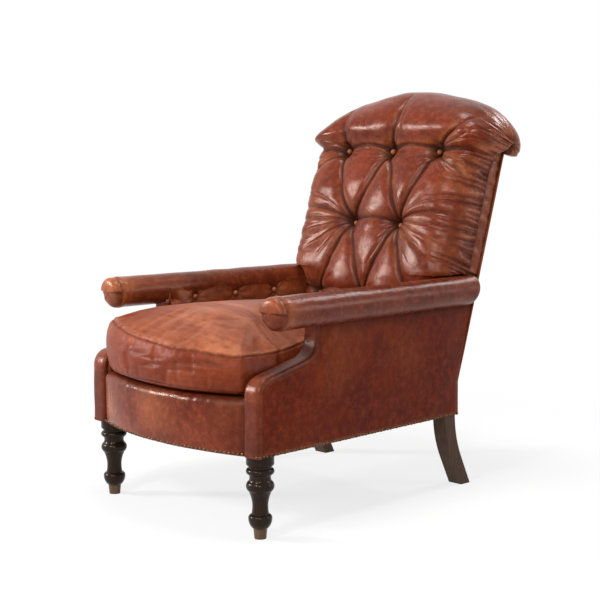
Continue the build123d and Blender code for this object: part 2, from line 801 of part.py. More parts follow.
with BuildPart() as top_roll:
    half_stations = ((roll_full_share, 1), (roll_turn_share, roll_turn_size), (1, roll_end_size))
    stations = [(-share, size) for share, size in reversed(half_stations)] + [(0, 1), *half_stations]
    loft([roll_slice(share * roll_half_length, size) for share, size in stations])
    with BuildSketch(back.offset(post_rear - gap)):
        with BuildLine():
            cut_half = crest_half + gap
            side_height = crest_top + gap - arch_drop(crest_half)
            Polyline((-cut_half, side_height), (-cut_half, 0), (cut_half, 0), (cut_half, side_height))
            ThreePointArc((cut_half, side_height), (0, crest_top + gap), (-cut_half, side_height))
        make_face()
    extrude(amount=post_depth + 2 * gap, mode=Mode.SUBTRACT)
    extrude(outside_back_outline(gap), amount=back_padding + gap, both=True, mode=Mode.SUBTRACT)
    split(
        bisect_by=Plane(back.from_local_coords(Vector(0, pad_top, 0)), x_dir=(1, 0, 0), z_dir=back.y_dir),
        keep=Keep.TOP,
    )
    tuft_pits()

# Outside back and the side panels of the back
with BuildPart() as outside_back:
    extrude(outside_back_outline(0), amount=back_padding)
    with BuildSketch(Plane.YZ):
        with BuildLine():
            Polyline(
                (rear_y, leather_base), (rear_y, knee_height), lean_point(0, back_padding),
                (rear_y - back_padding, knee_height), (rear_y - back_padding, leather_base), close=True,
            )
        make_face()
    extrude(amount=side_rear_x, both=True)

with BuildPart() as back_side_panel_left:
    with BuildSketch(back.offset(back_padding + gap)):
        low = (arm_top - knee_height) / math.cos(lean)
        with Locations((crest_half + gap, low)):
            Rectangle(
                back_half_width - crest_half - gap, pad_top - gap - low, align=(Align.MIN, Align.MIN)
            )
    extrude(amount=pad_back - back_padding - 2 * gap)

with BuildPart() as back_side_panel_right:
    mirror(back_side_panel_left.part, about=Plane.YZ)

# Arms
roll_plane = left_side.offset(-roll_inset)
with BuildPart() as arm_roll_left:
    with BuildSketch(roll_plane):
        with BuildLine():
            Polyline(
                (roll_front, roll_height), (roll_reach, roll_height), (roll_reach, roll_height + roll_radius),
                (roll_front + roll_dome, roll_height + roll_radius),
            )
            RadiusArc(
                (roll_front + roll_dome, roll_height + roll_radius), (roll_front, roll_height),
                -(roll_radius**2 + roll_dome**2) / (2 * roll_dome),
            )
        make_face()
    revolve(axis=Axis(roll_plane.from_local_coords(Vector(0, roll_height, 0)), side_run))
    with BuildSketch(left_side.offset(arm_rail_width / 2 - arm_rail_inset + gap)):
        with Locations((roll_front + roll_dome - gap, arm_rail_low - gap)):
            Rectangle(roll_reach, arm_rail_height + 2 * gap, align=(Align.MIN, Align.MIN))
    extrude(amount=-arm_rail_width - 2 * gap, mode=Mode.SUBTRACT)
    with BuildSketch(left_side.offset(gap - wood_out)):
        stump_front = throat + stump_inset - gap
        with Locations((stump_front, arm_rail_low)):
            Rectangle(stump_rear + gap - stump_front, 2 * roll_radius, align=(Align.MIN, Align.MAX))
    extrude(amount=-rail_thickness - 2 * gap, mode=Mode.SUBTRACT)
    with BuildSketch(back):
        Rectangle(2 * (crest_half + 2 * gap), 3 * roll_height)
    extrude(amount=pad_back, mode=Mode.SUBTRACT)
    split(bisect_by=back.offset(roll_end), keep=Keep.TOP)

with BuildPart() as arm_roll_right:
    mirror(arm_roll_left.part, about=Plane.YZ)

with BuildPart() as arm_facing_left:
    outer_line = arm_front_line(0)
    inner_line = arm_front_line(facing_padding)
    facing_reach = throat + throat_radius
    hollow_reach = facing_reach + facing_padding
    with BuildSketch(left_side) as facing_outline:
        with BuildLine():
            Polyline(
                (0, leather_base), *outer_line, (throat, under_roll), (facing_reach, under_roll),
                (facing_reach, leather_base), close=True,
            )
        make_face()
        round_arm_front(facing_outline, outer_line, 0, leather_base, under_roll)
        with BuildSketch(mode=Mode.SUBTRACT) as facing_hollow:
            with BuildLine():
                Polyline(
                    (facing_padding, 0), *inner_line, (throat + facing_padding, roll_height),
                    (hollow_reach, roll_height), (hollow_reach, 0), close=True,
                )
            make_face()
            round_arm_front(facing_hollow, inner_line, facing_padding, leather_base, under_roll)
    extrude(amount=-facing_width)

with BuildPart() as arm_facing_right:
    mirror(arm_facing_left.part, about=Plane.YZ)

with BuildPart() as outside_arm_left:
    panel_inset = facing_padding + gap
    panel_line = arm_front_line(panel_inset)
    with BuildSketch(left_side) as panel_outline:
        knee_run = along(rear_y - gap)
        lean_run = (under_roll - knee_height) * math.tan(lean)
        with BuildLine():
            Polyline(
                (panel_inset, leather_base), *panel_line, (throat + panel_inset, under_roll),
                (knee_run + lean_run, under_roll), (knee_run, knee_height), (knee_run, leather_base),
                close=True,
            )
        make_face()
        round_arm_front(panel_outline, panel_line, panel_inset, leather_base, under_roll)
    extrude(amount=-side_padding)
    with BuildSketch(Plane.YZ) as behind:
        with BuildLine():
            Polyline(
                (rear_y - back_padding - gap, 0), (rear_y - back_padding - gap, knee(back_padding + gap)),
                lean_point(crown_height, back_padding + gap), (rear_y + crown_height, crown_height),
                (rear_y + crown_height, 0), close=True,
            )
        make_face()
    extrude(amount=2 * side_front_x, mode=Mode.SUBTRACT)

with BuildPart() as outside_arm_right:
    mirror(outside_arm_left.part, about=Plane.YZ)

arm_button_depth = wood_in + gap + arm_pad_thickness - button_height
arm_button_planes = [
    Plane(
        left_side.from_local_coords(
            Vector(arm_button_first + k * arm_button_pitch, arm_button_height, -arm_button_depth)
        ),
        x_dir=side_run, z_dir=-side_out,
    )
    for k in range(arm_button_count)
]
with BuildPart() as inside_arm_pad_left:
    pad_inset = facing_padding + arm_pad_front
    arm_pad_low = rail_top(front_y) + arm_pad_seat
    pad_line = arm_front_line(pad_inset)
    with BuildSketch(left_side.offset(-wood_in - gap)) as arm_pad_outline:
        with BuildLine():
            Polyline(
                (pad_inset, arm_pad_low), *pad_line, (throat + pad_inset, arm_pad_top),
                (arm_pad_rear, arm_pad_top), (arm_pad_rear, arm_pad_low), close=True,
            )
        make_face()
        round_arm_front(arm_pad_outline, pad_line, pad_inset, arm_pad_low, arm_pad_top)
    extrude(amount=-arm_pad_thickness)
    inner_edges = inside_arm_pad_left.faces().sort_by(Axis(left_side.origin, side_out))[0].edges()
    fillet(inner_edges, arm_pad_edge)
    roll_foot = roll_plane.from_local_coords(Vector(0, roll_height, 0))
    with BuildSketch(Plane(roll_foot, x_dir=side_out, z_dir=side_run)):
        Circle(roll_radius + gap)
    extrude(amount=roll_reach, mode=Mode.SUBTRACT)
    with Locations(*arm_button_planes):
        Cone(
            button_radius + dimple_play, button_radius + dimple_flare, button_height + gap,
            align=(Align.CENTER, Align.CENTER, Align.MIN), mode=Mode.SUBTRACT,
        )

with BuildPart() as inside_arm_pad_right:
    mirror(inside_arm_pad_left.part, about=Plane.YZ)

with BuildPart() as arm_buttons_left:
    with Locations(*[plane.offset(gap) for plane in arm_button_planes]):
        Cylinder(button_radius, button_height, align=(Align.CENTER, Align.CENTER, Align.MIN))
    button_rims = arm_buttons_left.edges().filter_by(GeomType.CIRCLE)
    fillet(button_rims.group_by(Axis(left_side.origin, -side_out))[-1], button_round)

with BuildPart() as arm_buttons_right:
    mirror(arm_buttons_left.part, about=Plane.YZ)

# Front border under the cushion
with BuildPart() as front_border:
    with BuildSketch(Plane.XY.offset(leather_base)):
        edge_x = border_half - gap
        border_rear = rail_front_y - gap
        with BuildLine():
            ThreePointArc((-edge_x, front_y), (0, front_y - front_bow), (edge_x, front_y))
            Line((edge_x, front_y), (edge_x, border_rear))
            ThreePointArc((edge_x, border_rear), (0, border_rear - front_rail_bow), (-edge_x, border_rear))
            Line((-edge_x, border_rear), (-edge_x, front_y))
        make_face()
    extrude(amount=deck_height - leather_base)
    crest_edge = front_border.faces().sort_by(Axis.Z)[-1].edges().sort_by(Axis.Y)[0]
    fillet(crest_edge, border_round)


# Loose seat cushion: leather case round a feather core
def cushion_slice(height, inset):
    """Outline of the cushion at a height above the platform, moved in from its widest outline."""
    corner = cushion_front_corner + inset
    rear = cushion_depth - inset
    front_half = cushion_front_half - inset
    rear_half = cushion_rear_half - inset
    mid_half = (front_half + rear_half) / 2 - cushion_draw
    bow = cushion_bow * (front_half / cushion_front_half) ** 2
    with BuildSketch(deck.offset(height)) as outline:
        with BuildLine():
            ThreePointArc((-front_half, corner), (0, corner - bow), (front_half, corner))
            ThreePointArc((front_half, corner), (mid_half, (corner + rear) / 2), (rear_half, rear))
            ThreePointArc((rear_half, rear), (0, rear - cushion_draw), (-rear_half, rear))
            ThreePointArc((-rear_half, rear), (-mid_half, (corner + rear) / 2), (-front_half, corner))
        make_face()
    return outline.sketch


def cushion_form(wall, mode=Mode.ADD):
    """Underside, border and crown of the cushion, moved in by a wall all round, with a seam between them."""
    top_seam = cushion_seam + cushion_border
    under = cushion_slice(wall, cushion_tuck + wall)
    low_seam = cushion_slice(cushion_seam + wall / 3, seam_draw + wall)
    belly = cushion_slice(cushion_seam + cushion_border / 2, wall)
    high_seam = cushion_slice(top_seam - wall / 3, seam_draw + wall)
    haunch = cushion_slice(top_seam + crown_share * cushion_crown - wall, haunch_inset + wall)
    crown = cushion_slice(top_seam + cushion_crown - wall, crown_inset + wall)
    for sections in ([under, low_seam], [low_seam, belly, high_seam], [high_seam, haunch, crown]):
        loft(sections, mode=mode)


with BuildPart() as cushion_case:
    cushion_form(0)
    cushion_form(case_wall, Mode.SUBTRACT)

with BuildPart() as cushion_core:
    cushion_form(case_wall + gap)

pieces = {
    "front_leg_left": front_leg_left,
    "front_leg_right": front_leg_right,
    "rear_post_left": rear_post_left,
    "rear_post_right": rear_post_right,
    "front_seat_rail": front_seat_rail,
    "side_seat_rail_left": side_seat_rail_left,
    "side_seat_rail_right": side_seat_rail_right,
    "rear_seat_rail": rear_seat_rail,
    "corner_blocks": corner_blocks,
    "arm_stump_left": arm_stump_left,
    "arm_stump_right": arm_stump_right,
    "arm_rail_left": arm_rail_left,
    "arm_rail_right": arm_rail_right,
    "crest_rail": crest_rail,
    "lower_back_rail": lower_back_rail,
    "frame_dowels": frame_dowels,
    "seat_webbing": seat_webbing,
    "seat_springs": seat_springs,
    "seat_hessian": seat_hessian,
    "seat_stuffing": seat_stuffing,
    "seat_platform_cover": seat_platform_cover,
    "dust_cover": dust_cover,
    "back_webbing": back_webbing,
    "back_hessian": back_hessian,
    "inside_back_pad": inside_back_pad,
    "top_roll": top_roll,
    "outside_back": outside_back,
    "back_side_panel_left": back_side_panel_left,
    "back_side_panel_right": back_side_panel_right,
    "arm_roll_left": arm_roll_left,
    "arm_roll_right": arm_roll_right,
    "arm_facing_left": arm_facing_left,
    "arm_facing_right": arm_facing_right,
    "outside_arm_left": outside_arm_left,
    "outside_arm_right": outside_arm_right,
    "inside_arm_pad_left": inside_arm_pad_left,
    "inside_arm_pad_right": inside_arm_pad_right,
    "front_border": front_border,
    "back_buttons": back_buttons,
    "arm_buttons_left": arm_buttons_left,
    "arm_buttons_right": arm_buttons_right,
    "cushion_case": cushion_case,
    "cushion_core": cushion_core,
}
os.makedirs("parts", exist_ok=True)
for name, piece in pieces.items():
    piece.part.label = name
    export_step(piece.part, f"parts/{name}.step")
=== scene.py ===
"""Easy chair with a deep-buttoned scroll back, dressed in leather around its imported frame.

Metres, +Z up. The sitter faces -Y and +X is the sitter's left.
"""
import logging
import math
from dataclasses import dataclass, field
from enum import Enum

import bmesh
import bpy
import numpy as np
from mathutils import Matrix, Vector


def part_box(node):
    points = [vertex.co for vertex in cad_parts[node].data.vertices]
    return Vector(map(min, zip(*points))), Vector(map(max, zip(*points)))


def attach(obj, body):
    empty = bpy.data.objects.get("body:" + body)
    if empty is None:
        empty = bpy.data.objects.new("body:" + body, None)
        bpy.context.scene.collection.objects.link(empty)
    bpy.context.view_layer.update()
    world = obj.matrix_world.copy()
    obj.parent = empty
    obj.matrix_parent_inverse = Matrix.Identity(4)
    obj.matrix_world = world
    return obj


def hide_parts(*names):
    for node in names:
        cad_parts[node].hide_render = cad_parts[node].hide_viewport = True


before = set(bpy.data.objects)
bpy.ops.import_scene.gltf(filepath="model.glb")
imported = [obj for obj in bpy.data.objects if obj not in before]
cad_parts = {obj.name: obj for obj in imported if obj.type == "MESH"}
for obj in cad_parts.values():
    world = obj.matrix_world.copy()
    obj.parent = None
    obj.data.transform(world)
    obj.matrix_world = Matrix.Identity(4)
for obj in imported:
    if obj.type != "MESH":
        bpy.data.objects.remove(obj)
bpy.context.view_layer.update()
LOG = logging.getLogger("easy_chair")
MM = 0.001
Array = np.ndarray
Colour = tuple[float, float, float]
Place = tuple[float, float, float]


class Body(Enum):
    """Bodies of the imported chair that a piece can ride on."""

    FRAME = "chair_frame"
    CUSHION = "seat_cushion"


class Hand(Enum):
    """Sides of the chair, as the sitter has them."""

    LEFT = 1
    RIGHT = -1


def smooth(low: float, high: float, value: Array) -> Array:
    """Ease from 0 at low to 1 at high along the cubic 3t^2 - 2t^3.

    Args:
        low: Value where the step starts.
        high: Value where the step ends.
        value: Values to ease.

    Returns:
        Eased values from 0 to 1.
    """
    t = np.clip((np.asarray(value, float) - low) / (high - low), 0, 1)
    return t * t * (3 - 2 * t)


def bell(value: Array, middle: Array, width: float, power: float = 2) -> Array:
    """Bump of height 1 at its middle, which falls off as exp(-(distance / width)^power)."""
    return np.exp(-(((value - middle) / width) ** power))


def stacked(x: Array, y: Array, z: Array) -> Array:
    """Points with three coordinates in the last axis, each of which may be one value for all."""
    return np.stack(np.broadcast_arrays(x, y, z), axis=-1)


def resample(points: Array, count: int) -> Array:
    """Space points evenly along a polyline by its running length.

    Args:
        points: Polyline, one row per point.
        count: Number of points wanted.

    Returns:
        Evenly spaced points, count rows.
    """
    steps = np.linalg.norm(np.diff(points, axis=0), axis=1)
    run = np.concatenate([[0], np.cumsum(steps)])
    wanted = np.linspace(0, run[-1], count)
    return np.stack([np.interp(wanted, run, column) for column in points.T], axis=1)


def flowing_curve(stations: Array, count: int) -> Array:
    """Carry a smooth curve through stations, with slopes from each one's neighbours (Catmull-Rom).

    Args:
        stations: Rows of values that the curve passes through.
        count: Number of rows wanted.

    Returns:
        Rows evenly spaced in the station number.
    """
    padded = np.concatenate([2 * stations[:1] - stations[1:2], stations, 2 * stations[-1:] - stations[-2:-1]])
    place = np.linspace(0, len(stations) - 1, count)
    index = np.minimum(place.astype(int), len(stations) - 2)
    t = (place - index)[:, None]
    before, start, end, after = (padded[index + k] for k in range(4))
    bend = 2 * before - 5 * start + 4 * end - after
    turn = 3 * start - before - 3 * end + after
    return 0.5 * (2 * start + (end - before) * t + bend * t**2 + turn * t**3)


def rounded_path(corners: list[tuple[float, float]], radii: list[float], count: int) -> Array:
    """Join straight runs by arcs that touch both runs, then space the points evenly.

    Args:
        corners: Corners of the path.
        radii: Arc radius at each inner corner.
        count: Number of points wanted.

    Returns:
        Points of the path, count rows of two.
    """
    points = [np.array(corners[0])]
    for before, corner, after, radius in zip(corners, corners[1:], corners[2:], radii):
        arriving = np.subtract(corner, before) / np.linalg.norm(np.subtract(corner, before))
        leaving = np.subtract(after, corner) / np.linalg.norm(np.subtract(after, corner))
        turn = math.acos(float(np.clip(arriving @ leaving, -1, 1)))
        start = np.array(corner) - arriving * radius * math.tan(turn / 2)
        inward = (leaving - arriving) / np.linalg.norm(leaving - arriving)
        centre = np.array(corner) + inward * radius / math.cos(turn / 2)
        angle = np.linspace(0, turn, 25)[:, None]
        points.extend(centre + np.cos(angle) * (start - centre) + np.sin(angle) * arriving * radius)
    points.append(np.array(corners[-1]))
    return resample(np.array(points), count)


class SoftNoise:
    """Smooth value noise: random numbers on a lattice, eased between its corners."""

    SIZE = 32

    def __init__(self, seed: int) -> None:
        """Draw the lattice from a fixed seed."""
        self.lattice = np.random.default_rng(seed).uniform(-1, 1, (self.SIZE,) * 3)

    def at(self, points: Array, cell: float | tuple[float, float, float]) -> Array:
        """Noise from -1 to 1 at points, one lattice step per cell.

        Args:
            points: Places, with three coordinates in the last axis.
            cell: Cell size, one for all axes or one each.

        Returns:
            Noise values, one per point.
        """
        place = np.asarray(points, float) / np.asarray(cell, float)
        corner = np.floor(place).astype(int)
        ease = place - corner
        ease = ease * ease * (3 - 2 * ease)
        total = np.zeros(place.shape[:-1])
        for dx, dy, dz in np.ndindex(2, 2, 2):
            pick = tuple((corner[..., k] + d) % self.SIZE for k, d in enumerate((dx, dy, dz)))
            share = [ease[..., k] if d else 1 - ease[..., k] for k, d in enumerate((dx, dy, dz))]
            total += self.lattice[pick] * share[0] * share[1] * share[2]
        return total


def lattice_quads(rows: int, columns: int, wrap_columns: bool = False) -> Array:
    """Faces of a grid of points that are numbered row by row.

    Args:
        rows: Number of rows.
        columns: Number of columns.
        wrap_columns: Whether the last column joins the first.

    Returns:
        Corner numbers, four per face.
    """
    number = np.arange(rows * columns).reshape(rows, columns)
    if wrap_columns:
        number = np.concatenate([number, number[:, :1]], axis=1)
    corners = [number[:-1, :-1], number[:-1, 1:], number[1:, 1:], number[1:, :-1]]
    return np.stack([c.ravel() for c in corners], axis=1)


def grid_normals(points: Array) -> Array:
    """Unit normals of a grid, from the cross product of its two running directions.

    Args:
        points: Grid of points.

    Returns:
        Unit normals, one per point.
    """
    across = np.gradient(points, axis=1)
    along = np.gradient(points, axis=0)
    normal = np.cross(across, along)
    length = np.linalg.norm(normal, axis=-1, keepdims=True)
    return normal / np.maximum(length, 1e-12)


def read_points(mesh: bpy.types.Mesh) -> Array:
    """Points of a mesh.

    Args:
        mesh: Mesh to read.

    Returns:
        Rows of three coordinates.
    """
    flat = np.zeros(len(mesh.vertices) * 3, np.float32)
    mesh.vertices.foreach_get("co", flat)
    return flat.reshape(-1, 3).astype(float)


def baked(source: bpy.types.Object, name: str, step: tuple[str, dict[str, object]]) -> bpy.types.Object:
    """Copy an object with one modifier applied, and delete the source.

    Args:
        source: Object to copy.
        name: Name of the copy.
        step: Modifier type and its settings.

    Returns:
        The copy.
    """
    kind, settings = step
    modifier = source.modifiers.new("step", kind)
    for label, value in settings.items():
        setattr(modifier, label, value)
    graph = bpy.context.evaluated_depsgraph_get()
    mesh = bpy.data.meshes.new_from_object(source.evaluated_get(graph))
    bpy.data.objects.remove(source)
    made = bpy.data.objects.new(name, mesh)
    bpy.context.scene.collection.objects.link(made)
    made.name = name
    return made


@dataclass
class Skin:
    """Surface made of points and faces, with how creased and how worn each point is; the crease mark is
    patina and painted shade, the wear mark wear and in places painted highlight.
    """

    points: Array
    quads: Array
    caps: list[list[int]] = field(default_factory=list)
    crease: Array | None = None
    wear: Array | None = None

    @staticmethod
    def tube(points: Array, crease: Array | None = None, wear: Array | None = None) -> "Skin":
        """Close a grid into a tube: columns go round it, and a cap closes each end.

        Args:
            points: Grid of points, rows along the tube.
            crease: How creased each point is.
            wear: How worn each point is.

        Returns:
            The closed surface.
        """
        rows, columns = points.shape[:2]
        last = (rows - 1) * columns
        caps = [list(range(columns)), list(range(last, last + columns))]
        return Skin(points.reshape(-1, 3), lattice_quads(rows, columns, True), caps, crease, wear)

    @staticmethod
    def slab(front: Array, inward: Array, crease: Array | None = None, wear: Array | None = None) -> "Skin":
        """Close a grid into a slab: a copy moved inward is its back, and a rim joins the two.

        Args:
            front: Grid of points that shows.
            inward: Step from the front to the back, one for all points or one each.
            crease: How creased each front point is.
            wear: How worn each front point is.

        Returns:
            The closed surface.
        """
        rows, columns = front.shape[:2]
        count = rows * columns
        face = lattice_quads(rows, columns)
        number = np.arange(count).reshape(rows, columns)
        rim = np.concatenate([number[0], number[1:, -1], number[-1, -2::-1], number[-2:0:-1, 0]])
        following = np.roll(rim, -1)
        edge = np.stack([rim, rim + count, following + count, following], axis=1)
        points = np.concatenate([front.reshape(-1, 3), (front + inward).reshape(-1, 3)])
        twice = [None if a is None else np.tile(np.asarray(a).ravel(), 2) for a in (crease, wear)]
        return Skin(points, np.concatenate([face, face[:, ::-1] + count, edge]), [], *twice)

    def to_object(self, name: str, finish: "Finish", weld: float = 0.00005) -> bpy.types.Object:
        """Make a smooth mesh object, with doubled points merged and faces turned outward.

        Args:
            name: Name of the piece.
            finish: Finish of the piece.
            weld: Points closer than this are merged.

        Returns:
            The object, at the origin.
        """
        mesh = bpy.data.meshes.new(name)
        mesh.from_pydata(self.points.tolist(), [], self.quads.tolist() + self.caps)
        for label, values in (("crease", self.crease), ("wear", self.wear)):
            mark = mesh.attributes.new(label, "FLOAT", "POINT")
            filled = np.zeros(len(self.points)) if values is None else np.ravel(values)
            mark.data.foreach_set("value", np.clip(filled, 0, 1).astype(np.float32))
        work = bmesh.new()
        work.from_mesh(mesh)
        bmesh.ops.remove_doubles(work, verts=work.verts, dist=weld)
        bmesh.ops.dissolve_degenerate(work, edges=work.edges, dist=weld / 10)
        bmesh.ops.recalc_face_normals(work, faces=work.faces)
        work.to_mesh(mesh)
        work.free()
        mesh.shade_smooth()
        mesh.materials.append(finish.material())
        made = bpy.data.objects.new(name, mesh)
        bpy.context.scene.collection.objects.link(made)
        return made


class NodeBench:
    """Adds nodes to one new material and joins them."""

    def __init__(self, name: str) -> None:
        """Start a material with its shader and Object coordinates.

        Args:
            name: Name of the material.
        """
        self.material = bpy.data.materials.new(name)
        self.material.use_nodes = True
        self.tree = self.material.node_tree
        self.shader = self.tree.nodes["Principled BSDF"]
        self.place = self.tree.nodes.new("ShaderNodeTexCoord").outputs["Object"]

    def put(self, socket: bpy.types.NodeSocket, value: object) -> None:
        """Link an output to a socket, or set the socket's own value.

        Args:
            socket: Socket that takes the value.
            value: Output to link, or plain value.
        """
        if isinstance(value, bpy.types.NodeSocket):
            self.tree.links.new(value, socket)
        else:
            socket.default_value = value

    def node(self, kind: str, inputs: dict[str | int, object], **settings: object) -> bpy.types.Node:
        """Add a node.

        Args:
            kind: Blender's name of the node type.
            inputs: Socket name or number to value or output.
            settings: Properties of the node.

        Returns:
            The node.
        """
        made = self.tree.nodes.new(kind)
        for label, value in settings.items():
            setattr(made, label, value)
        for label, value in inputs.items():
            self.put(made.inputs[label], value)
        return made

    def stretched(self, scale: Colour) -> bpy.types.NodeSocket:
        """Object coordinates with each axis scaled."""
        return self.node("ShaderNodeMapping", {"Vector": self.place, "Scale": scale}).outputs[0]

    def noise(self, scale: float, detail: float = 4, rough: float = 0.55,
              vector: bpy.types.NodeSocket | None = None) -> bpy.types.NodeSocket:
        """Noise of a given scale per metre, from 0 to 1."""
        inputs = {"Vector": vector or self.place, "Scale": scale, "Detail": detail, "Roughness": rough}
        return self.node("ShaderNodeTexNoise", inputs).outputs["Fac"]

    def cells(self, scale: float) -> bpy.types.NodeSocket:
        """Distance to the edge of irregular cells, a number of them per metre."""
        inputs = {"Vector": self.place, "Scale": scale}
        return self.node("ShaderNodeTexVoronoi", inputs, feature="DISTANCE_TO_EDGE").outputs["Distance"]

    def mark(self, name: str) -> bpy.types.NodeSocket:
        """Value of one of the piece's own point attributes."""
        return self.node("ShaderNodeAttribute", {}, attribute_name=name).outputs["Fac"]

    def span(self, value: bpy.types.NodeSocket, low: float, high: float, to_low: float = 0,
             to_high: float = 1) -> bpy.types.NodeSocket:
        """Map a span of values to another, held at both ends."""
        inputs = {"Value": value, "From Min": low, "From Max": high, "To Min": to_low, "To Max": to_high}
        return self.node("ShaderNodeMapRange", inputs).outputs[0]

    def sum(self, first: object, second: object, operation: str = "ADD") -> bpy.types.NodeSocket:
        """Combine two values, by adding them unless told otherwise."""
        return self.node("ShaderNodeMath", {0: first, 1: second}, operation=operation).outputs[0]

    def blend(self, share: object, first: object, second: object) -> bpy.types.NodeSocket:
        """Mix two colours.

        Args:
            share: How much of the second colour shows.
            first: First colour, or an output.
            second: Second colour, or an output.

        Returns:
            The mixed colour.
        """
        colours = [(*c, 1) if isinstance(c, tuple) else c for c in (first, second)]
        inputs = {0: share, 6: colours[0], 7: colours[1]}
        return self.node("ShaderNodeMix", inputs, data_type="RGBA").outputs[2]

    def bump(self, height: bpy.types.NodeSocket, depth: float, strength: float = 1,
             over: bpy.types.NodeSocket | None = None) -> bpy.types.NodeSocket:
        """Bump of the surface.

        Args:
            height: Height of the relief, from 0 to 1.
            depth: Depth of the relief in metres.
            strength: How strongly it shows.
            over: Bump that it is laid over.

        Returns:
            The bumped normal.
        """
        inputs = {"Height": height, "Distance": depth, "Strength": strength}
        if over is not None:
            inputs["Normal"] = over
        return self.node("ShaderNodeBump", inputs).outputs[0]

    def set(self, **inputs: object) -> None:
        """Set or link the shader's sockets, with spaces written as underscores."""
        for label, value in inputs.items():
            self.put(self.shader.inputs[label.replace("_", " ")], value)


class Finish:
    """A finish that makes its material once and shares it."""

    name: str
    _made: dict[str, bpy.types.Material] = {}

    def material(self) -> bpy.types.Material:
        """Make the material at the first call, and hand it out again after that.

        Returns:
            The finish's material.
        """
        if self.name not in Finish._made:
            Finish._made[self.name] = self.mix()
        return Finish._made[self.name]

    def mix(self) -> bpy.types.Material:
        """Build the material."""
        raise NotImplementedError


@dataclass(frozen=True)
class LeatherFinish(Finish):
    """Aged hide: gently clouded colour, dark creases that are patina and painted shade, worn ridges that are
    wear and in places painted highlight, and a fine pebbled grain.

    Scales are cells per metre and depths are metres.
    """

    name: str
    deep: Colour
    body: Colour
    pale: Colour
    worn: Colour
    # Colour of the crease mark: patina and painted shade in folds and under parts
    fold: Colour
    rough_low: float
    rough_high: float
    specular: float
    wrinkle: float = 0.0005
    mottle: float = 0.55
    drag: Colour = (1, 0.6, 1.5)
    streak: float = 0.0
    cloud_scale: float = 9
    blotch_scale: float = 58
    fleck_scale: float = 190
    crease_scale: float = 48
    pebble_scale: float = 430
    pore_scale: float = 1100
    pebble_depth: float = 0.00012
    fleck_share: float = 0.7
    crease_shade_share: float = 0.9
    fold_roughness: float = 0.4
    reflection_tint: Colour = (1.0, 0.70, 0.60)

    def mix(self) -> bpy.types.Material:
        """Cloud the colour, then lay over it wear, in places painted highlight, and creases, patina and
        painted shade, and roughen it by the same clouds.

        Returns:
            The material.
        """
        bench = NodeBench(self.name)
        cloud = bench.noise(self.cloud_scale, detail=5, rough=0.6)
        blotch = bench.noise(self.blotch_scale, detail=6, rough=0.66)
        fleck = bench.noise(self.fleck_scale, detail=3, rough=0.6)
        creased = bench.noise(self.crease_scale, detail=5, rough=0.6, vector=bench.stretched(self.drag))
        colour = bench.blend(bench.span(cloud, 0.3, 0.68), self.deep, self.body)
        colour = bench.blend(bench.span(blotch, 0.44, 0.72, 0, self.mottle), colour, self.pale)
        flecked = bench.span(fleck, 0.46, 0.72, 0, self.fleck_share * self.mottle)
        colour = bench.blend(flecked, colour, self.deep)
        # Wear mark: lightens towards the worn colour, as wear and in places as painted highlight
        rubbed = bench.sum(bench.mark("wear"), bench.span(blotch, 0.3, 0.66, 0.65, 1), "MULTIPLY")
        colour = bench.blend(rubbed, colour, self.worn)
        if self.streak:
            colour = bench.blend(bench.span(creased, 0.48, 0.7, 0, self.streak), colour, self.deep)
        # Crease mark: darkens towards the fold colour, as patina and as painted shade in folds and under
        # parts
        colour = bench.blend(bench.span(bench.mark("crease"), 0, 1, 0, self.crease_shade_share), colour, self.fold)
        pores = bench.noise(self.pore_scale, detail=2)
        pebble = bench.sum(bench.span(bench.cells(self.pebble_scale), 0, 0.25), pores)
        relief = bench.bump(creased, self.wrinkle, strength=0.5)
        relief = bench.bump(pebble, self.pebble_depth, strength=0.5, over=relief)
        rough = bench.span(bench.sum(blotch, cloud), 0.75, 1.3, self.rough_low, self.rough_high)
        rough = bench.sum(rough, bench.span(bench.mark("crease"), 0.2, 1, 0, self.fold_roughness))
        bench.set(Base_Color=colour, Roughness=rough, Normal=relief, Specular_IOR_Level=self.specular,
                  Specular_Tint=(*self.reflection_tint, 1))
        return bench.material


@dataclass(frozen=True)
class WoodFinish(Finish):
    """Stained wood with grain along the height, and a bare foot below a given height."""

    name: str
    dark: Colour
    light: Colour
    foot: Colour
    foot_height: float
    roughness: float
    specular: float
    streak_scale: Colour = (170, 170, 9)
    pore_scale: Colour = (700, 700, 40)
    grain_depth: float = 0.00012
    foot_line: float = 0.0006
    foot_shade: float = 0.6
    reflection_tint: Colour = (1.0, 0.8, 0.68)

    def mix(self) -> bpy.types.Material:
        """Streak the stain along Z and lighten what is below the foot height.

        Returns:
            The material.
        """
        bench = NodeBench(self.name)
        streak = bench.noise(1, detail=6, rough=0.6, vector=bench.stretched(self.streak_scale))
        pore = bench.noise(1, detail=3, rough=0.7, vector=bench.stretched(self.pore_scale))
        colour = bench.blend(bench.span(streak, 0.3, 0.75), self.dark, self.light)
        shaded = tuple(self.foot_shade * c for c in self.foot)
        bare = bench.blend(bench.span(streak, 0.3, 0.7), self.foot, shaded)
        height = bench.node("ShaderNodeSeparateXYZ", {0: bench.place}).outputs["Z"]
        above = bench.span(height, self.foot_height - self.foot_line, self.foot_height)
        colour = bench.blend(above, bare, colour)
        relief = bench.bump(bench.sum(pore, streak), self.grain_depth, strength=0.5)
        rough = bench.span(pore, 0.3, 0.7, self.roughness - 0.06, self.roughness + 0.1)
        bench.set(Base_Color=colour, Roughness=rough, Normal=relief, Specular_IOR_Level=self.specular,
                  Specular_Tint=(*self.reflection_tint, 1))
        return bench.material


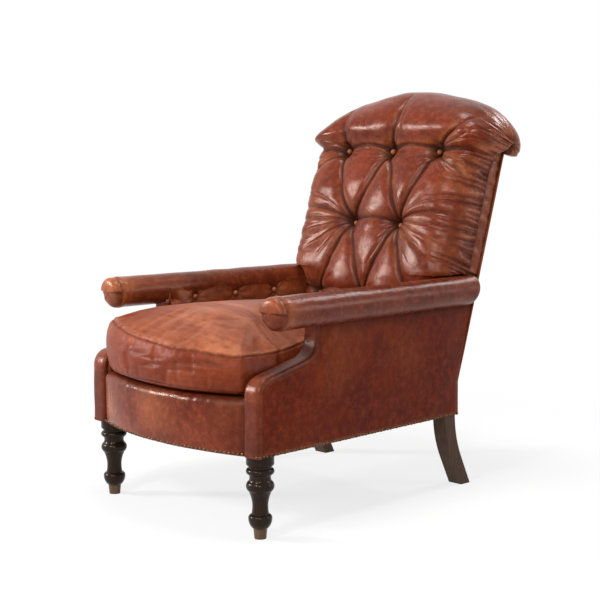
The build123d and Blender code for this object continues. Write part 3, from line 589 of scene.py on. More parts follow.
@dataclass(frozen=True)
class ClothFinish(Finish):
    """Plain weave of a given thread pitch, uneven in tone."""

    name: str
    thread: Colour
    gap: Colour
    pitch: float
    waves_per_scale: float = 0.05
    patch_scale: float = 18
    patch_shade: float = 0.8

    def mix(self) -> bpy.types.Material:
        """Cross two thread waves in plan and shade the gaps between them.

        Returns:
            The material.
        """
        bench = NodeBench(self.name)
        scale = self.waves_per_scale / self.pitch
        waves = [
            bench.node(
                "ShaderNodeTexWave",
                {"Vector": bench.place, "Scale": scale, "Distortion": 0.4, "Detail": 1},
                bands_direction=axis,
            ).outputs["Fac"]
            for axis in ("X", "Y")
        ]
        weave = bench.sum(*waves, "MAXIMUM")
        shaded = tuple(self.patch_shade * c for c in self.thread)
        tone = bench.blend(bench.span(bench.noise(self.patch_scale, detail=5), 0.3, 0.7), self.thread, shaded)
        colour = bench.blend(bench.span(weave, 0.2, 0.8), self.gap, tone)
        rough = bench.span(bench.noise(300, detail=2), 0.3, 0.7, 0.8, 0.95)
        bench.set(Base_Color=colour, Roughness=rough, Normal=bench.bump(weave, self.pitch / 3, strength=0.7))
        return bench.material


@dataclass(frozen=True)
class MetalFinish(Finish):
    """Metal with tarnish in patches."""

    name: str
    bright: Colour
    tarnish: Colour
    roughness: float
    patch_scale: float = 260
    patch_depth: float = 0.0001
    tarnish_roughness: float = 0.25

    def mix(self) -> bpy.types.Material:
        """Mix tarnish over the metal and roughen it there.

        Returns:
            The material.
        """
        bench = NodeBench(self.name)
        patch = bench.noise(self.patch_scale, detail=4, rough=0.6)
        colour = bench.blend(bench.span(patch, 0.42, 0.62), self.bright, self.tarnish)
        rough = bench.span(patch, 0.3, 0.7, self.roughness, self.roughness + self.tarnish_roughness)
        relief = bench.bump(patch, self.patch_depth, strength=0.4)
        bench.set(Base_Color=colour, Roughness=rough, Metallic=1.0, Normal=relief)
        return bench.material


HIDE = LeatherFinish(
    "chestnut_hide", deep=(0.066, 0.0078, 0.0026), body=(0.150, 0.0215, 0.0070), pale=(0.255, 0.051, 0.017),
    worn=(0.45, 0.145, 0.050), fold=(0.010, 0.002, 0.001), rough_low=0.21, rough_high=0.32, specular=0.25,
)
# Darker, less glossy copy of the hide for the outside panels, which face away from the lamps: its darker
# colour is painted shade
DRY_SHADED_PANEL_HIDE = LeatherFinish(
    "dry_shaded_panel_hide", deep=(0.066, 0.0068, 0.0018), body=(0.128, 0.0135, 0.0034), pale=(0.20, 0.030, 0.0085),
    worn=(0.38, 0.105, 0.034), fold=(0.011, 0.0022, 0.001), rough_low=0.34, rough_high=0.46, specular=0.09,
    mottle=0.75,
)
CUSHION_HIDE = LeatherFinish(
    "tan_cushion_hide", deep=(0.108, 0.0140, 0.0040), body=(0.178, 0.0270, 0.0078), pale=(0.27, 0.056, 0.019),
    worn=(0.44, 0.148, 0.068), fold=(0.03, 0.006, 0.0025), rough_low=0.36, rough_high=0.50, specular=0.16,
    wrinkle=0.0015, mottle=0.4, drag=(0.32, 1.25, 1.5), streak=0.55,
)
BUTTON_HIDE = LeatherFinish(
    "rubbed_button_hide", deep=(0.20, 0.052, 0.017), body=(0.33, 0.10, 0.034), pale=(0.43, 0.16, 0.06),
    worn=(0.5, 0.2, 0.08), fold=(0.05, 0.012, 0.006), rough_low=0.35, rough_high=0.5, specular=0.2,
)
TURNED_WOOD = WoodFinish(
    "ebonised_leg", dark=(0.008, 0.0045, 0.003), light=(0.022, 0.012, 0.008), foot=(0.13, 0.075, 0.042),
    foot_height=0.0225, roughness=0.22, specular=0.17,
)
POST_WOOD = WoodFinish(
    "stained_rear_leg", dark=(0.040, 0.018, 0.010), light=(0.082, 0.043, 0.026), foot=(0.05, 0.028, 0.018),
    foot_height=0.002, roughness=0.36, specular=0.2,
)
FRAME_WOOD = WoodFinish(
    "beech_frame", dark=(0.33, 0.20, 0.105), light=(0.46, 0.30, 0.17), foot=(0.4, 0.25, 0.14),
    foot_height=0.0, roughness=0.6, specular=0.3,
)
LINEN = ClothFinish("linen_webbing", thread=(0.40, 0.31, 0.2), gap=(0.12, 0.09, 0.055), pitch=0.0016)
PLATFORM_CLOTH = ClothFinish(
    "platform_cloth", thread=(0.16, 0.075, 0.045), gap=(0.05, 0.024, 0.015), pitch=0.0011,
)
DUST_CLOTH = ClothFinish("dust_cloth", thread=(0.035, 0.033, 0.032), gap=(0.008, 0.008, 0.008), pitch=0.0009)
STUFFING = ClothFinish("curled_stuffing", thread=(0.30, 0.24, 0.17), gap=(0.12, 0.09, 0.06), pitch=0.003)
NAIL_BRASS = MetalFinish(
    "antique_nail_brass", bright=(0.16, 0.082, 0.037), tarnish=(0.055, 0.027, 0.013), roughness=0.36,
)
SPRING_STEEL = MetalFinish(
    "spring_steel", bright=(0.42, 0.42, 0.44), tarnish=(0.24, 0.2, 0.17), roughness=0.35,
)


def fit_out(piece: bpy.types.Object, body: Body, nodes: tuple[str, ...] = ()) -> bpy.types.Object:
    """Set a finished piece on its body, hide the CAD nodes that it stands for and report it in the log.

    Args:
        piece: The finished piece.
        body: Body that carries it.
        nodes: CAD nodes that it stands for.

    Returns:
        The piece.
    """
    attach(piece, body.value)
    if nodes:
        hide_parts(*nodes)
    LOG.info("%s: %d faces on %s", piece.name, len(piece.data.polygons), body.value)
    return piece


@dataclass(frozen=True)
class ChairPlan:
    """Planes and sizes that the leather shares with the frame."""

    side_front_x: float = 0.295
    side_rear_x: float = 0.266
    front_y: float = -0.413
    rear_y: float = 0.262
    front_bow: float = 0.045
    leather_base: float = 0.1795
    deck_height: float = 0.298
    deck_slope: float = math.radians(2)
    knee_height: float = 0.262
    back_lean: float = math.radians(16.3)
    facing_width: float = 0.045
    shoulder_height: float = 0.341
    shoulder_radius: float = 0.038
    arm_slope: float = math.radians(12.5)
    throat: float = 0.181
    throat_radius: float = 0.048
    roll_height: float = 0.480
    roll_radius: float = 0.0365
    roll_inset: float = 0.005
    arch_radius: float = 0.667
    button_radius: float = 0.0068

    def side(self, s: Array, h: Array, t: Array, hand: Hand) -> Array:
        """Place points on a side of the chair.

        Args:
            s: Distance back along the side from the facing.
            h: Height above the floor.
            t: Distance outward from the leather.
            hand: Which side.

        Returns:
            Points with three coordinates in the last axis.
        """
        run = np.array([self.side_rear_x - self.side_front_x, self.rear_y - self.front_y])
        run = run / np.linalg.norm(run)
        x = self.side_front_x + s * run[0] + t * run[1]
        y = self.front_y + s * run[1] - t * run[0]
        return stacked(hand.value * x, y, h)

    def back(self, x: Array, v: Array, w: Array) -> Array:
        """Place points on the leaning back.

        Args:
            x: Distance to the sitter's left.
            v: Distance up the lean from the knee of the rear posts.
            w: Distance out towards the sitter.

        Returns:
            Points with three coordinates in the last axis.
        """
        sine, cosine = math.sin(self.back_lean), math.cos(self.back_lean)
        y = self.rear_y + v * sine - w * cosine
        return stacked(x, y, self.knee_height + v * cosine + w * sine)

    def deck(self, x: Array, d: Array, e: Array) -> Array:
        """Place points on the sloping seat platform.

        Args:
            x: Distance to the sitter's left.
            d: Distance back from the facings.
            e: Height above the platform.

        Returns:
            Points with three coordinates in the last axis.
        """
        sine, cosine = math.sin(self.deck_slope), math.cos(self.deck_slope)
        y = self.front_y + d * cosine + e * sine
        return stacked(x, y, self.deck_height - d * sine + e * cosine)

    def arch_drop(self, x: Array) -> Array:
        """How far the arched top has dropped at a distance from its middle, on a circle."""
        return self.arch_radius - np.sqrt(self.arch_radius**2 - np.square(x))

    def arm_front(self, inset: float, count: int) -> Array:
        """S-curve of the arm front: up the facing, round the shoulder, along the ledge and up the throat.

        Args:
            inset: How far the line is moved in from the leather.
            count: Number of points wanted.

        Returns:
            Rows of distance back and height.
        """
        rise = math.tan(self.arm_slope)
        ledge = self.shoulder_height - inset / math.cos(self.arm_slope)
        top = self.roll_height - 0.8 * self.roll_radius
        turn = self.throat + inset
        corners = [
            (inset, self.leather_base), (inset, ledge + inset * rise),
            (turn, ledge + turn * rise), (turn, top),
        ]
        return rounded_path(corners, [self.shoulder_radius - inset, self.throat_radius + inset], count)

    def rear_edge(self, h: Array) -> Array:
        """Distance back to the outside back, straight below the knee and leaning above it.

        Args:
            h: Height above the floor.

        Returns:
            Distances from the facing.
        """
        lean = np.maximum(np.asarray(h) - self.knee_height, 0) * math.tan(self.back_lean)
        length = math.hypot(self.side_rear_x - self.side_front_x, self.rear_y - self.front_y)
        return length + lean

    def front_arc(self, x: Array, half: float, bow: float) -> Array:
        """Y of a bowed front at x: a circle through both corners that stands a bow out in the middle."""
        radius = (half**2 + bow**2) / (2 * bow)
        return self.front_y - bow + radius - np.sqrt(radius**2 - np.square(x))


@dataclass(frozen=True)
class Fold:
    """A line along which the leather is folded in, with a width for each of its sides."""

    start: tuple[float, float]
    end: tuple[float, float]
    bow: float = 0.0
    depth: tuple[float, float, float] = (0.006, 0.004, 0.006)
    width: tuple[float, float] = (0.010, 0.003)
    power: float = 1.0

    def carve(self, u: Array, l: Array) -> Array:
        """Depth of the fold at each place.

        The fold's line is a parabola from start to end. Its depth falls off as
        exp(-(distance / width)^power), with a width for each side, and runs along it through three values.

        Args:
            u: Distance across the piece.
            l: Distance up the piece.

        Returns:
            Depths, zero or more.
        """
        share = np.linspace(0, 1, 9)[:, None]
        run = np.subtract(self.end, self.start)
        square = np.array([-run[1], run[0]]) / np.linalg.norm(run)
        line = np.array(self.start) + share * run + 4 * self.bow * share * (1 - share) * square
        margin = 4.5 * max(self.width)
        low, high = line.min(axis=0) - margin, line.max(axis=0) + margin
        near = (u > low[0]) & (u < high[0]) & (l > low[1]) & (l < high[1])
        step = np.diff(line, axis=0)[None]
        off = np.stack([u[near], l[near]], axis=1)[:, None, :] - line[None, :-1]
        along = np.clip(np.sum(off * step, axis=2) / np.sum(step * step, axis=2), 0, 1)
        gap = off - along[..., None] * step
        distance = np.linalg.norm(gap, axis=2)
        best = distance.argmin(axis=1)
        row = np.arange(len(best))
        side = step[0, best, 0] * gap[row, best, 1] - step[0, best, 1] * gap[row, best, 0]
        width = np.where(side > 0, self.width[0], self.width[1])
        depth = np.interp((best + along[row, best]) / 8, [0, 0.5, 1], self.depth)
        made = np.zeros(u.shape)
        made[near] = depth * np.exp(-((distance[row, best] / width) ** self.power))
        return made


@dataclass
class Relief:
    """Depths that the buttoning presses into the leather, one value per point."""

    valley: Array
    crisp: Array
    pit: Array
    wrinkle: Array
    gather: Array


@dataclass
class InsideBack:
    """Deep-buttoned inside back that runs on over the arched top roll to its rear lip."""

    plan: ChairPlan
    rows: int = 380
    columns: int = 300
    neck_half: float = 0.2175
    pad_half: float = 0.268
    roll_half: float = 0.302
    roll_axis: float = 0.263
    seam_depth: float = 0.044
    eye: tuple[float, float] = (0.592, 0.014)
    crease: float = 0.541
    row_pitch: float = 0.189
    pitch: float = 0.155
    button_seat: float = 0.105
    turn_share: float = 0.68
    turn_length: float = 0.11
    fullness: float = 2.5
    left_softness: float = 5.0
    settled: float = 0.008
    valley_depth: tuple[float, float] = (0.013, 0.0065)
    valley_width: tuple[float, float] = (0.025, 0.018)
    crisp_depth: tuple[float, float] = (0.0085, 0.0066)
    crisp_width: tuple[float, float] = (0.0075, 0.0022)
    dip_depth: float = 0.025
    crease_dip_depth: float = 0.012
    dip_radius: float = 0.043
    pit_depth: float = 0.013
    pit_radius: float = 0.0145
    fan_count: int = 18
    gather_pitch: float = 0.0135
    roll_gather_pitch: float = 0.022
    seed: int = 17

    # Buttons of each row, in pitches from the middle
    BUTTON_ROWS = ((-1, 0, 1), (-0.5, 0.5), (-1, 0, 1))
    # Folds over the roll: button, where it ends across, how far up it runs, bow
    OVER_ROLL = ((-1, -0.166, 0.20, 0.005), (0, 0.012, 0.19, -0.014), (1, 0.262, 0.2, -0.024))
    # Folds from the end buttons of each row to the side: reach out, rise, bow, strength
    SIDE_FANS = (
        ((0.17, 0.004, 0.004, 0.9), (0.155, -0.034, -0.004, 0.45), (0.145, -0.10, 0.004, 0.75),
         (0.15, 0.05, 0.006, 0.5), (0.15, -0.066, 0.0, 0.35)),
        ((0.23, 0.012, 0.022, 0.8), (0.22, -0.022, 0.010, 0.6), (0.21, -0.064, 0.006, 0.5),
         (0.16, -0.10, 0.0, 0.55), (0.18, 0.075, 0.012, 0.35), (0.10, -0.115, -0.004, 0.45)),
        ((0.16, 0.02, 0.006, 0.7), (0.15, -0.05, 0.0, 0.5), (0.15, 0.07, 0.004, 0.5)),
    )

    def button_rows(self) -> list[list[tuple[float, float]]]:
        """Places of the buttons, row by row from the top.

        Returns:
            For each row, distance across and height up the lean of its buttons.
        """
        return [
            [(k * self.pitch, self.crease - row * self.row_pitch) for k in across]
            for row, across in enumerate(self.BUTTON_ROWS)
        ]

    def buttons(self) -> list[tuple[float, float]]:
        """Places of all the buttons."""
        return [place for row in self.button_rows() for place in row]

    def stations(self) -> Array:
        """Profile up the middle and over the roll.

        Returns:
            Rows of height up the lean, depth, share of the arch, squareness of the ends, and the height
            and depth that the ends are drawn to, in metres.
        """
        seam = self.seam_depth * 1000
        eye_v, eye_w = self.eye[0] * 1000, self.eye[1] * 1000
        rows = [
            (3, 98, 0, 12, 3, seam), (42, 130, 0, 12, 42, seam), (110, 145, 0, 12, 110, seam),
            (200, 149, 0, 12, 200, seam), (300, 151, 0, 12, 300, seam), (400, 151, 0, 12, 400, seam),
            (465, 149, 0, 12, 465, seam), (512, 143, 0, 12, 512, seam), (541, 133, 0.02, 12, 541, seam),
            (566, 138, 0.12, 12, 556, 42), (604, 147, 0.4, 11, 574, 31), (645, 138, 0.68, 9, 587, 20),
            (684, 110, 0.88, 8, eye_v, eye_w), (708, 74, 1, 8.5, eye_v, eye_w), (715, 36, 1, 9, eye_v, eye_w),
            (705, 0, 1, 11, eye_v, eye_w), (684, -27, 1, 14, eye_v, eye_w), (655, -41, 1, 18, eye_v, eye_w),
            (627, -36, 0.95, 18, eye_v, eye_w), (611, -15, 0.85, 18, eye_v, eye_w),
            (607, 4, 0.78, 18, eye_v, eye_w),
        ]
        return np.array(rows, float) * np.array([MM, MM, 1, 1, MM, MM])

    def spaced(self) -> tuple[Array, Array]:
        """Space the rows of the profile, closest where the front shows.

        Returns:
            The rows, and their distance up the leather.
        """
        line = flowing_curve(self.stations(), 1600)
        steps = np.hypot(np.diff(line[:, 0]), np.diff(line[:, 1]))
        up = np.concatenate([[0], np.cumsum(steps)])
        crease_row = int(np.argmin(np.abs(line[:900, 0] - self.crease)))
        up = up - up[crease_row] + self.crease
        weight = 0.35 + 0.65 * smooth(0.13, 0.2, up) - 0.55 * smooth(0.78, 0.84, up)
        run = np.concatenate([[0], np.cumsum(np.diff(up) * weight[1:])])
        wanted = np.interp(np.linspace(0, run[-1], self.rows), run, np.arange(len(run)))
        pick = np.arange(len(run))
        rows = np.stack([np.interp(wanted, pick, column) for column in line.T], axis=1)
        return rows, np.interp(wanted, pick, up)

    def half_width(self, v: Array, w: Array) -> Array:
        """Half width of the pad: between the arms, then round the circle of the arm rolls, then full.

        Args:
            v: Height up the lean.
            w: Depth towards the sitter.

        Returns:
            Half widths.
        """
        plan = self.plan
        z = plan.back(0.0, v, w)[..., 2]
        radius = plan.roll_radius + 0.001
        lift = np.clip((z - plan.roll_height) / radius, 0, 1)
        around = self.roll_axis - radius * np.sqrt(1 - lift**2)
        beside = smooth(plan.roll_height - 0.02, plan.roll_height, z)
        half = self.neck_half + (around - self.neck_half) * beside
        top = plan.roll_height + radius
        return half + (self.pad_half - self.roll_axis) * smooth(top, top + 0.012, z)

    def base(self) -> tuple[Array, Array, Array, Array]:
        """Smooth form before buttoning.

        Across a row the ends close on the curve share^n + depth^m = 1, from the profile to the row's
        drawn-in place, where share is the distance from the middle over the half width.

        Returns:
            Points as x, v and w, distance across, distance up, and how far each point is from its
            drawn-in end.
        """
        line, up = self.spaced()
        v, w, arch, square, end_v, end_w = (line[:, k, None] for k in range(6))
        up = up[:, None]
        q = np.linspace(-1, 1, self.columns)[None, :]
        out = np.abs(q)
        on_pad = 1 - smooth(self.crease - 0.05, self.crease + 0.03, up)
        square = square - self.left_softness * (q > 0) * on_pad
        turn_x = 0.8 + 0.11 * smooth(4, 14, square)
        turn_depth = (1 - turn_x**square) ** (1 / self.fullness)
        far = np.clip((out - self.turn_share) / (1 - self.turn_share), 0, 1)
        depth = np.where(far > 0, turn_depth * (1 - far), 1)
        share = np.where(far > 0, (1 - depth**self.fullness) ** (1 / square), turn_x * out / self.turn_share)
        depth = np.where(far > 0, depth, (1 - share**square) ** (1 / self.fullness))
        w = w + 0.013 * smooth(0.62, 0.85, out) * bell(up, self.crease, 0.03)
        half = self.half_width(v, end_w + (w - end_w) * depth)
        half = np.where(up > self.crease, self.pad_half, half)
        half = half + (self.roll_half - self.pad_half) * smooth(self.crease, self.crease + 0.06, up)
        half = half + 0.007 * bell(up - self.crease, -0.004, 0.022)
        x = np.sign(q) * half * share
        slump = smooth(0.02, 0.13, -x) + 2.0 * smooth(0.15, 0.27, -x) - 0.5 * smooth(0.1, 0.24, x)
        lowered = v - arch * (self.plan.arch_drop(x) + self.settled * slump)
        points = stacked(x, end_v + (lowered - end_v) * depth, end_w + (w - end_w) * depth)
        across = np.sign(q) * (half * np.minimum(share, turn_x) + self.turn_length * far)
        return points, across, np.broadcast_to(up, across.shape), depth

    def lines(self) -> list[tuple[tuple[float, float], tuple[float, float], float, float]]:
        """Main folds: between the buttons, over the roll, down to the seat and to the sides.

        Returns:
            Start, end, bow and strength of each fold.
        """
        rows = self.button_rows()
        made = []
        for upper, lower in zip(rows, rows[1:]):
            for first in upper:
                for second in lower:
                    if abs(first[0] - second[0]) < self.pitch * 0.9:
                        made.append((first, second, -0.014 if first[0] < -0.1 else 0.004, 1.0))
        top = self.crease
        for k, end, rise, bow in self.OVER_ROLL:
            made.append(((k * self.pitch, top), (end, top + rise), bow, 0.9))
            made.append(((k * self.pitch, top), (end + 0.028, top + 0.72 * rise), bow * 1.25, 0.45))
        made.extend(((x, l), (x, 0.02), 0.0, 0.8) for x, l in rows[2])
        for row, bow in zip(rows, (0.010, 0.007, 0.007)):
            made.extend((first, second, bow, 0.85) for first, second in zip(row, row[1:]))
        for row, fan in zip(rows, self.SIDE_FANS):
            for (x, l), way in ((row[0], -1), (row[-1], 1)):
                made.extend(((x, l), (x + way * du, l + dl), way * bow, force) for du, dl, bow, force in fan)
        return made

    def wrinkles(self) -> list[Fold]:
        """Fine wrinkles that fan out round each button, and drag lines beside the main folds, all seeded.

        Returns:
            The wrinkles.
        """
        rng = np.random.default_rng(self.seed)
        count = self.fan_count
        made = []
        for x, l in self.buttons():
            turns = np.arange(count) * 2 * np.pi / count + rng.uniform(-0.18, 0.18, count)
            for turn, length in zip(turns, rng.uniform(0.030, 0.105, count)):
                way = np.array([np.cos(turn), 0.85 * np.sin(turn)])
                start, end = np.array([x, l]) + 0.011 * way, np.array([x, l]) + length * way
                depth = rng.uniform(0.0014, 0.0040)
                fold = (depth, 0.7 * depth, 0.0)
                width = (rng.uniform(0.0035, 0.0065), rng.uniform(0.002, 0.003))
                made.append(Fold(tuple(start), tuple(end), rng.uniform(-0.004, 0.004), fold, width))
        for start, end, bow, force in self.lines():
            run = np.subtract(end, start)
            square = np.array([-run[1], run[0]]) / np.linalg.norm(run)
            for off in (rng.uniform(-0.016, -0.007), rng.uniform(0.007, 0.016)):
                first = np.array(start) + rng.uniform(0.08, 0.2) * run + 0.5 * off * square
                last = np.array(start) + rng.uniform(0.5, 0.85) * run + off * square
                depth = force * rng.uniform(0.0012, 0.0034)
                width = (rng.uniform(0.003, 0.005), rng.uniform(0.0018, 0.0026))
                made.append(Fold(tuple(first), tuple(last), 0.6 * bow, (0.3 * depth, depth, 0.0), width))
        return made

    def gathers(self) -> list[Fold]:
        """Short folds that run in from the side seams and from the eyes of the roll, at seeded places.

        Returns:
            The gathers of both sides.
        """
        rng = np.random.default_rng(self.seed + 1)
        made = []
        beside = np.arange(0.225, 0.56, self.gather_pitch)
        levels = np.concatenate([beside, np.arange(0.57, 0.98, self.roll_gather_pitch)])
        rows = np.array([self.crease, self.crease - self.row_pitch])
        for way in (-1, 1):
            for level in levels + rng.uniform(-0.004, 0.004, len(levels)):
                if level > self.crease + 0.02:
                    seam = 0.9 * self.roll_half + self.turn_length
                    pull = 0
                    length = rng.uniform(0.07, 0.1)
                    depth = rng.uniform(0.0018, 0.0050)
                else:
                    seam = 0.9 * self.pad_half + self.turn_length
                    pull = 0.22 * (rows[np.argmin(np.abs(rows - level))] - level)
                    length = rng.choice([0.085, 0.12, 0.17]) * rng.uniform(0.8, 1.2)
                    depth = rng.uniform(0.0034, 0.0090) * (0.70 + 0.30 * way)
                end = (way * (seam - length), level + pull + rng.uniform(-0.006, 0.006))
                widths = (rng.uniform(0.0048, 0.0080), rng.uniform(0.0028, 0.0042))
                fold = (depth, 0.85 * depth, 0.0)
                made.append(Fold((way * seam, level), end, rng.uniform(-0.003, 0.003), fold, widths, 1.2))
        return made

    def relief(self, across: Array, up: Array, u: Array, l: Array) -> Relief:
        """Work out the buttoning.

        Broad valleys and button dips are combined as the cube root of their summed cubes.

        Args:
            across: Distance across the leather.
            up: Distance up the leather.
            u: The same distance across, made uneven for the folds.
            l: The same distance up, made uneven for the folds.

        Returns:
            The depths.
        """
        broad, crisp, pit, wrinkle, gather = (np.zeros(u.shape) for _ in range(5))
        for start, end, bow, force in self.lines():
            free = 0.0 if end not in self.buttons() else 1.0
            deep, middle = self.valley_depth
            ends = (deep * force, middle * force, deep * force * free)
            broad += Fold(start, end, bow, ends, self.valley_width, 1.4).carve(u, l) ** 3
            deep, middle = self.crisp_depth
            ends = (deep * force, middle * force, deep * force * free)
            crisp = np.maximum(crisp, Fold(start, end, bow, ends, self.crisp_width).carve(u, l))
        for x, height in self.buttons():
            reach = np.hypot(across - x, up - height)
            sink = self.crease_dip_depth if height == self.crease else self.dip_depth
            broad += (sink * bell(reach, 0, self.dip_radius, 1.5)) ** 3
            pit += self.pit_depth * bell(reach, 0, self.pit_radius)
        for fold in self.wrinkles():
            wrinkle = np.maximum(wrinkle, fold.carve(u, l))
        for fold in self.gathers():
            gather = np.maximum(gather, fold.carve(u, l))
        return Relief(np.cbrt(broad), crisp, pit, wrinkle, gather)

    def marks(self, relief: Relief, across: Array, up: Array, depth: Array) -> tuple[Array, Array]:
        """Mark the leather dark in its folds, as patina and painted shade, and where its sides turn in, as
        painted shade; and worn on the lips and ridges beside them, the side ridges partly as painted
        highlight.

        Args:
            relief: Depths of the buttoning.
            across: Distance across the leather.
            up: Distance up the leather.
            depth: How far each point is from its drawn-in end.

        Returns:
            How creased and how worn each point is.
        """
        gather, valley = relief.gather, relief.valley
        crease = (relief.crisp / 0.0062) ** 2 + 0.55 * (relief.pit / self.pit_depth) ** 2
        crease = crease + 0.5 * (relief.wrinkle / 0.003) ** 2
        crease = crease + 0.2 * np.clip(valley / self.valley_depth[0], 0, 1) + 0.85 * (gather / 0.0062) ** 2
        # Painted shade: the pad is darkened where its sides turn in to the seams
        crease = crease + 0.5 * (1 - smooth(0.0, 0.10, depth)) * (up < self.crease)
        lip = bell(relief.crisp, 0.0016, 0.0011) * np.clip(valley / 0.007, 0, 1)
        # Sides of the pad lightened on the ridges between the gathers: wear, and painted highlight
        ridge = smooth(0.175, 0.29, np.abs(across)) * smooth(0.05, 0.22, depth)
        ridge = ridge * (1 - np.clip(gather / 0.0022, 0, 1)) * (up < self.crease + 0.05)
        end_wear = (up > self.crease) * smooth(0.27, 0.33, np.abs(across))
        end_wear = end_wear * (1 - np.clip(gather / 0.002, 0, 1))
        return np.clip(crease, 0, 1), 0.62 * ridge + 0.45 * lip + 0.5 * end_wear

    def build(self) -> bpy.types.Object:
        """Button the smooth form: valleys, folds, wrinkles, gathers and pits push it in along its normal.

        Returns:
            The leather of the inside back and the top roll.
        """
        points, across, up, depth = self.base()
        flat = stacked(across, up, 0)
        noise, fine = SoftNoise(11), SoftNoise(23)
        u = across + 0.0035 * noise.at(flat, 0.045)
        l = up + 0.0035 * noise.at(flat + 7, 0.045)
        relief = self.relief(across, up, u, l)
        swell = 0.0014 * noise.at(flat, 0.06) + 0.0006 * fine.at(flat, (0.026, 0.018, 1))
        near_side = smooth(0.175, 0.29, np.abs(across))
        ripple = 0.0008 * fine.at(flat + 4, (0.06, 0.010, 1)) * near_side
        push = swell + ripple - relief.valley - relief.crisp - relief.pit
        push = push - relief.wrinkle * np.exp(-relief.crisp / 0.003) - relief.gather
        normal = grid_normals(points)
        inside = np.array([0, 0.45, -0.05])
        facing = np.sign(np.sum(normal * (points - inside), axis=-1, keepdims=True))
        formed = points + normal * facing * (push * smooth(0.0, 0.12, depth))[..., None]
        placed = self.plan.back(formed[..., 0], formed[..., 1], formed[..., 2])
        crease, worn = self.marks(relief, across, up, depth)
        patch = np.clip(0.55 + 0.9 * noise.at(flat + 5, 0.05), 0, 1)
        made = Skin.tube(placed, crease, worn * patch).to_object("back_pad_leather", HIDE, weld=0.0004)
        return fit_out(made, Body.FRAME, ("inside_back_pad", "top_roll"))


@dataclass
class BackPanels:
    """Plain leather of the outside back, and the strips at the sides of the back."""

    plan: ChairPlan
    lip: float = 0.609
    half_top: float = 0.270
    strip_low: float = 0.262
    strip_high: float = 0.575
    strip_front: float = 0.043

    def outside(self) -> bpy.types.Object:
        """Panel up the outside back, tucked in at its edges and full between them.

        Returns:
            The panel, standing for the CAD one.
        """
        plan = self.plan
        share = np.linspace(-1, 1, 81)[None, :]
        rise = np.linspace(0, 1, 121)[:, None]
        below = plan.knee_height - plan.leather_base
        length = below + self.lip - 0.75 * plan.arch_drop(self.half_top * share)
        run = rise * length - below
        half = plan.side_rear_x + (self.half_top - plan.side_rear_x) * np.clip(run / self.lip, 0, 1)
        x = share * half
        edge = np.minimum(half - np.abs(x), np.minimum(rise * length, 0.04))
        noise = SoftNoise(31)
        flat = stacked(x, run, 0)
        puff = 0.0035 * np.sin(np.pi * np.clip(rise, 0, 1)) * np.cos(share * np.pi / 2)
        puff = puff + 0.0008 * noise.at(flat, 0.09) - 0.0035 * (1 - smooth(0, 0.012, edge))
        bend = smooth(-0.012, 0.012, run)
        low = stacked(x, plan.rear_y + puff, plan.knee_height + run)
        high = plan.back(x, run, -puff)
        front = low * (1 - bend[..., None]) + high * bend[..., None]
        wear = 0.35 * (1 - smooth(0, 0.012, edge)) + 0 * x
        skin = Skin.slab(front, np.array([0, -0.004, 0.0]), 0 * wear, wear)
        made = skin.to_object("outside_back_leather", DRY_SHADED_PANEL_HIDE)
        return fit_out(made, Body.FRAME, ("outside_back",))

    def strip(self, hand: Hand) -> bpy.types.Object:
        """Strip between the pad's seam and the outside back, with small gathers.

        Args:
            hand: Which side.

        Returns:
            The strip.
        """
        rise = np.linspace(0, 1, 121)[:, None]
        share = np.linspace(0, 1, 25)[None, :]
        v = self.strip_low + rise * (self.strip_high - self.strip_low)
        w = 0.002 + share * (self.strip_front - 0.002)
        flat = stacked(v, w, 0)
        noise = SoftNoise(41 + hand.value)
        puff = 0.003 * np.sin(np.pi * share) + 0.0010 * noise.at(flat, (0.012, 0.03, 1))
        x = hand.value * (self.half_top - 0.007 + puff)
        wear = 0.12 + 0.25 * smooth(0.8, 1, share) + 0.35 * np.clip(noise.at(flat, (0.012, 0.03, 1)), 0, 1)
        crease = 0.5 * smooth(0.93, 1, share) + 0.4 * (1 - smooth(0, 0.06, share)) + 0 * v
        skin = Skin.slab(self.plan.back(x, v, w), np.array([-0.006 * hand.value, 0, 0]), crease, wear + 0 * v)
        side = hand.name.lower()
        made = skin.to_object(f"back_strip_leather_{side}", HIDE)
        return fit_out(made, Body.FRAME, (f"back_side_panel_{side}",))


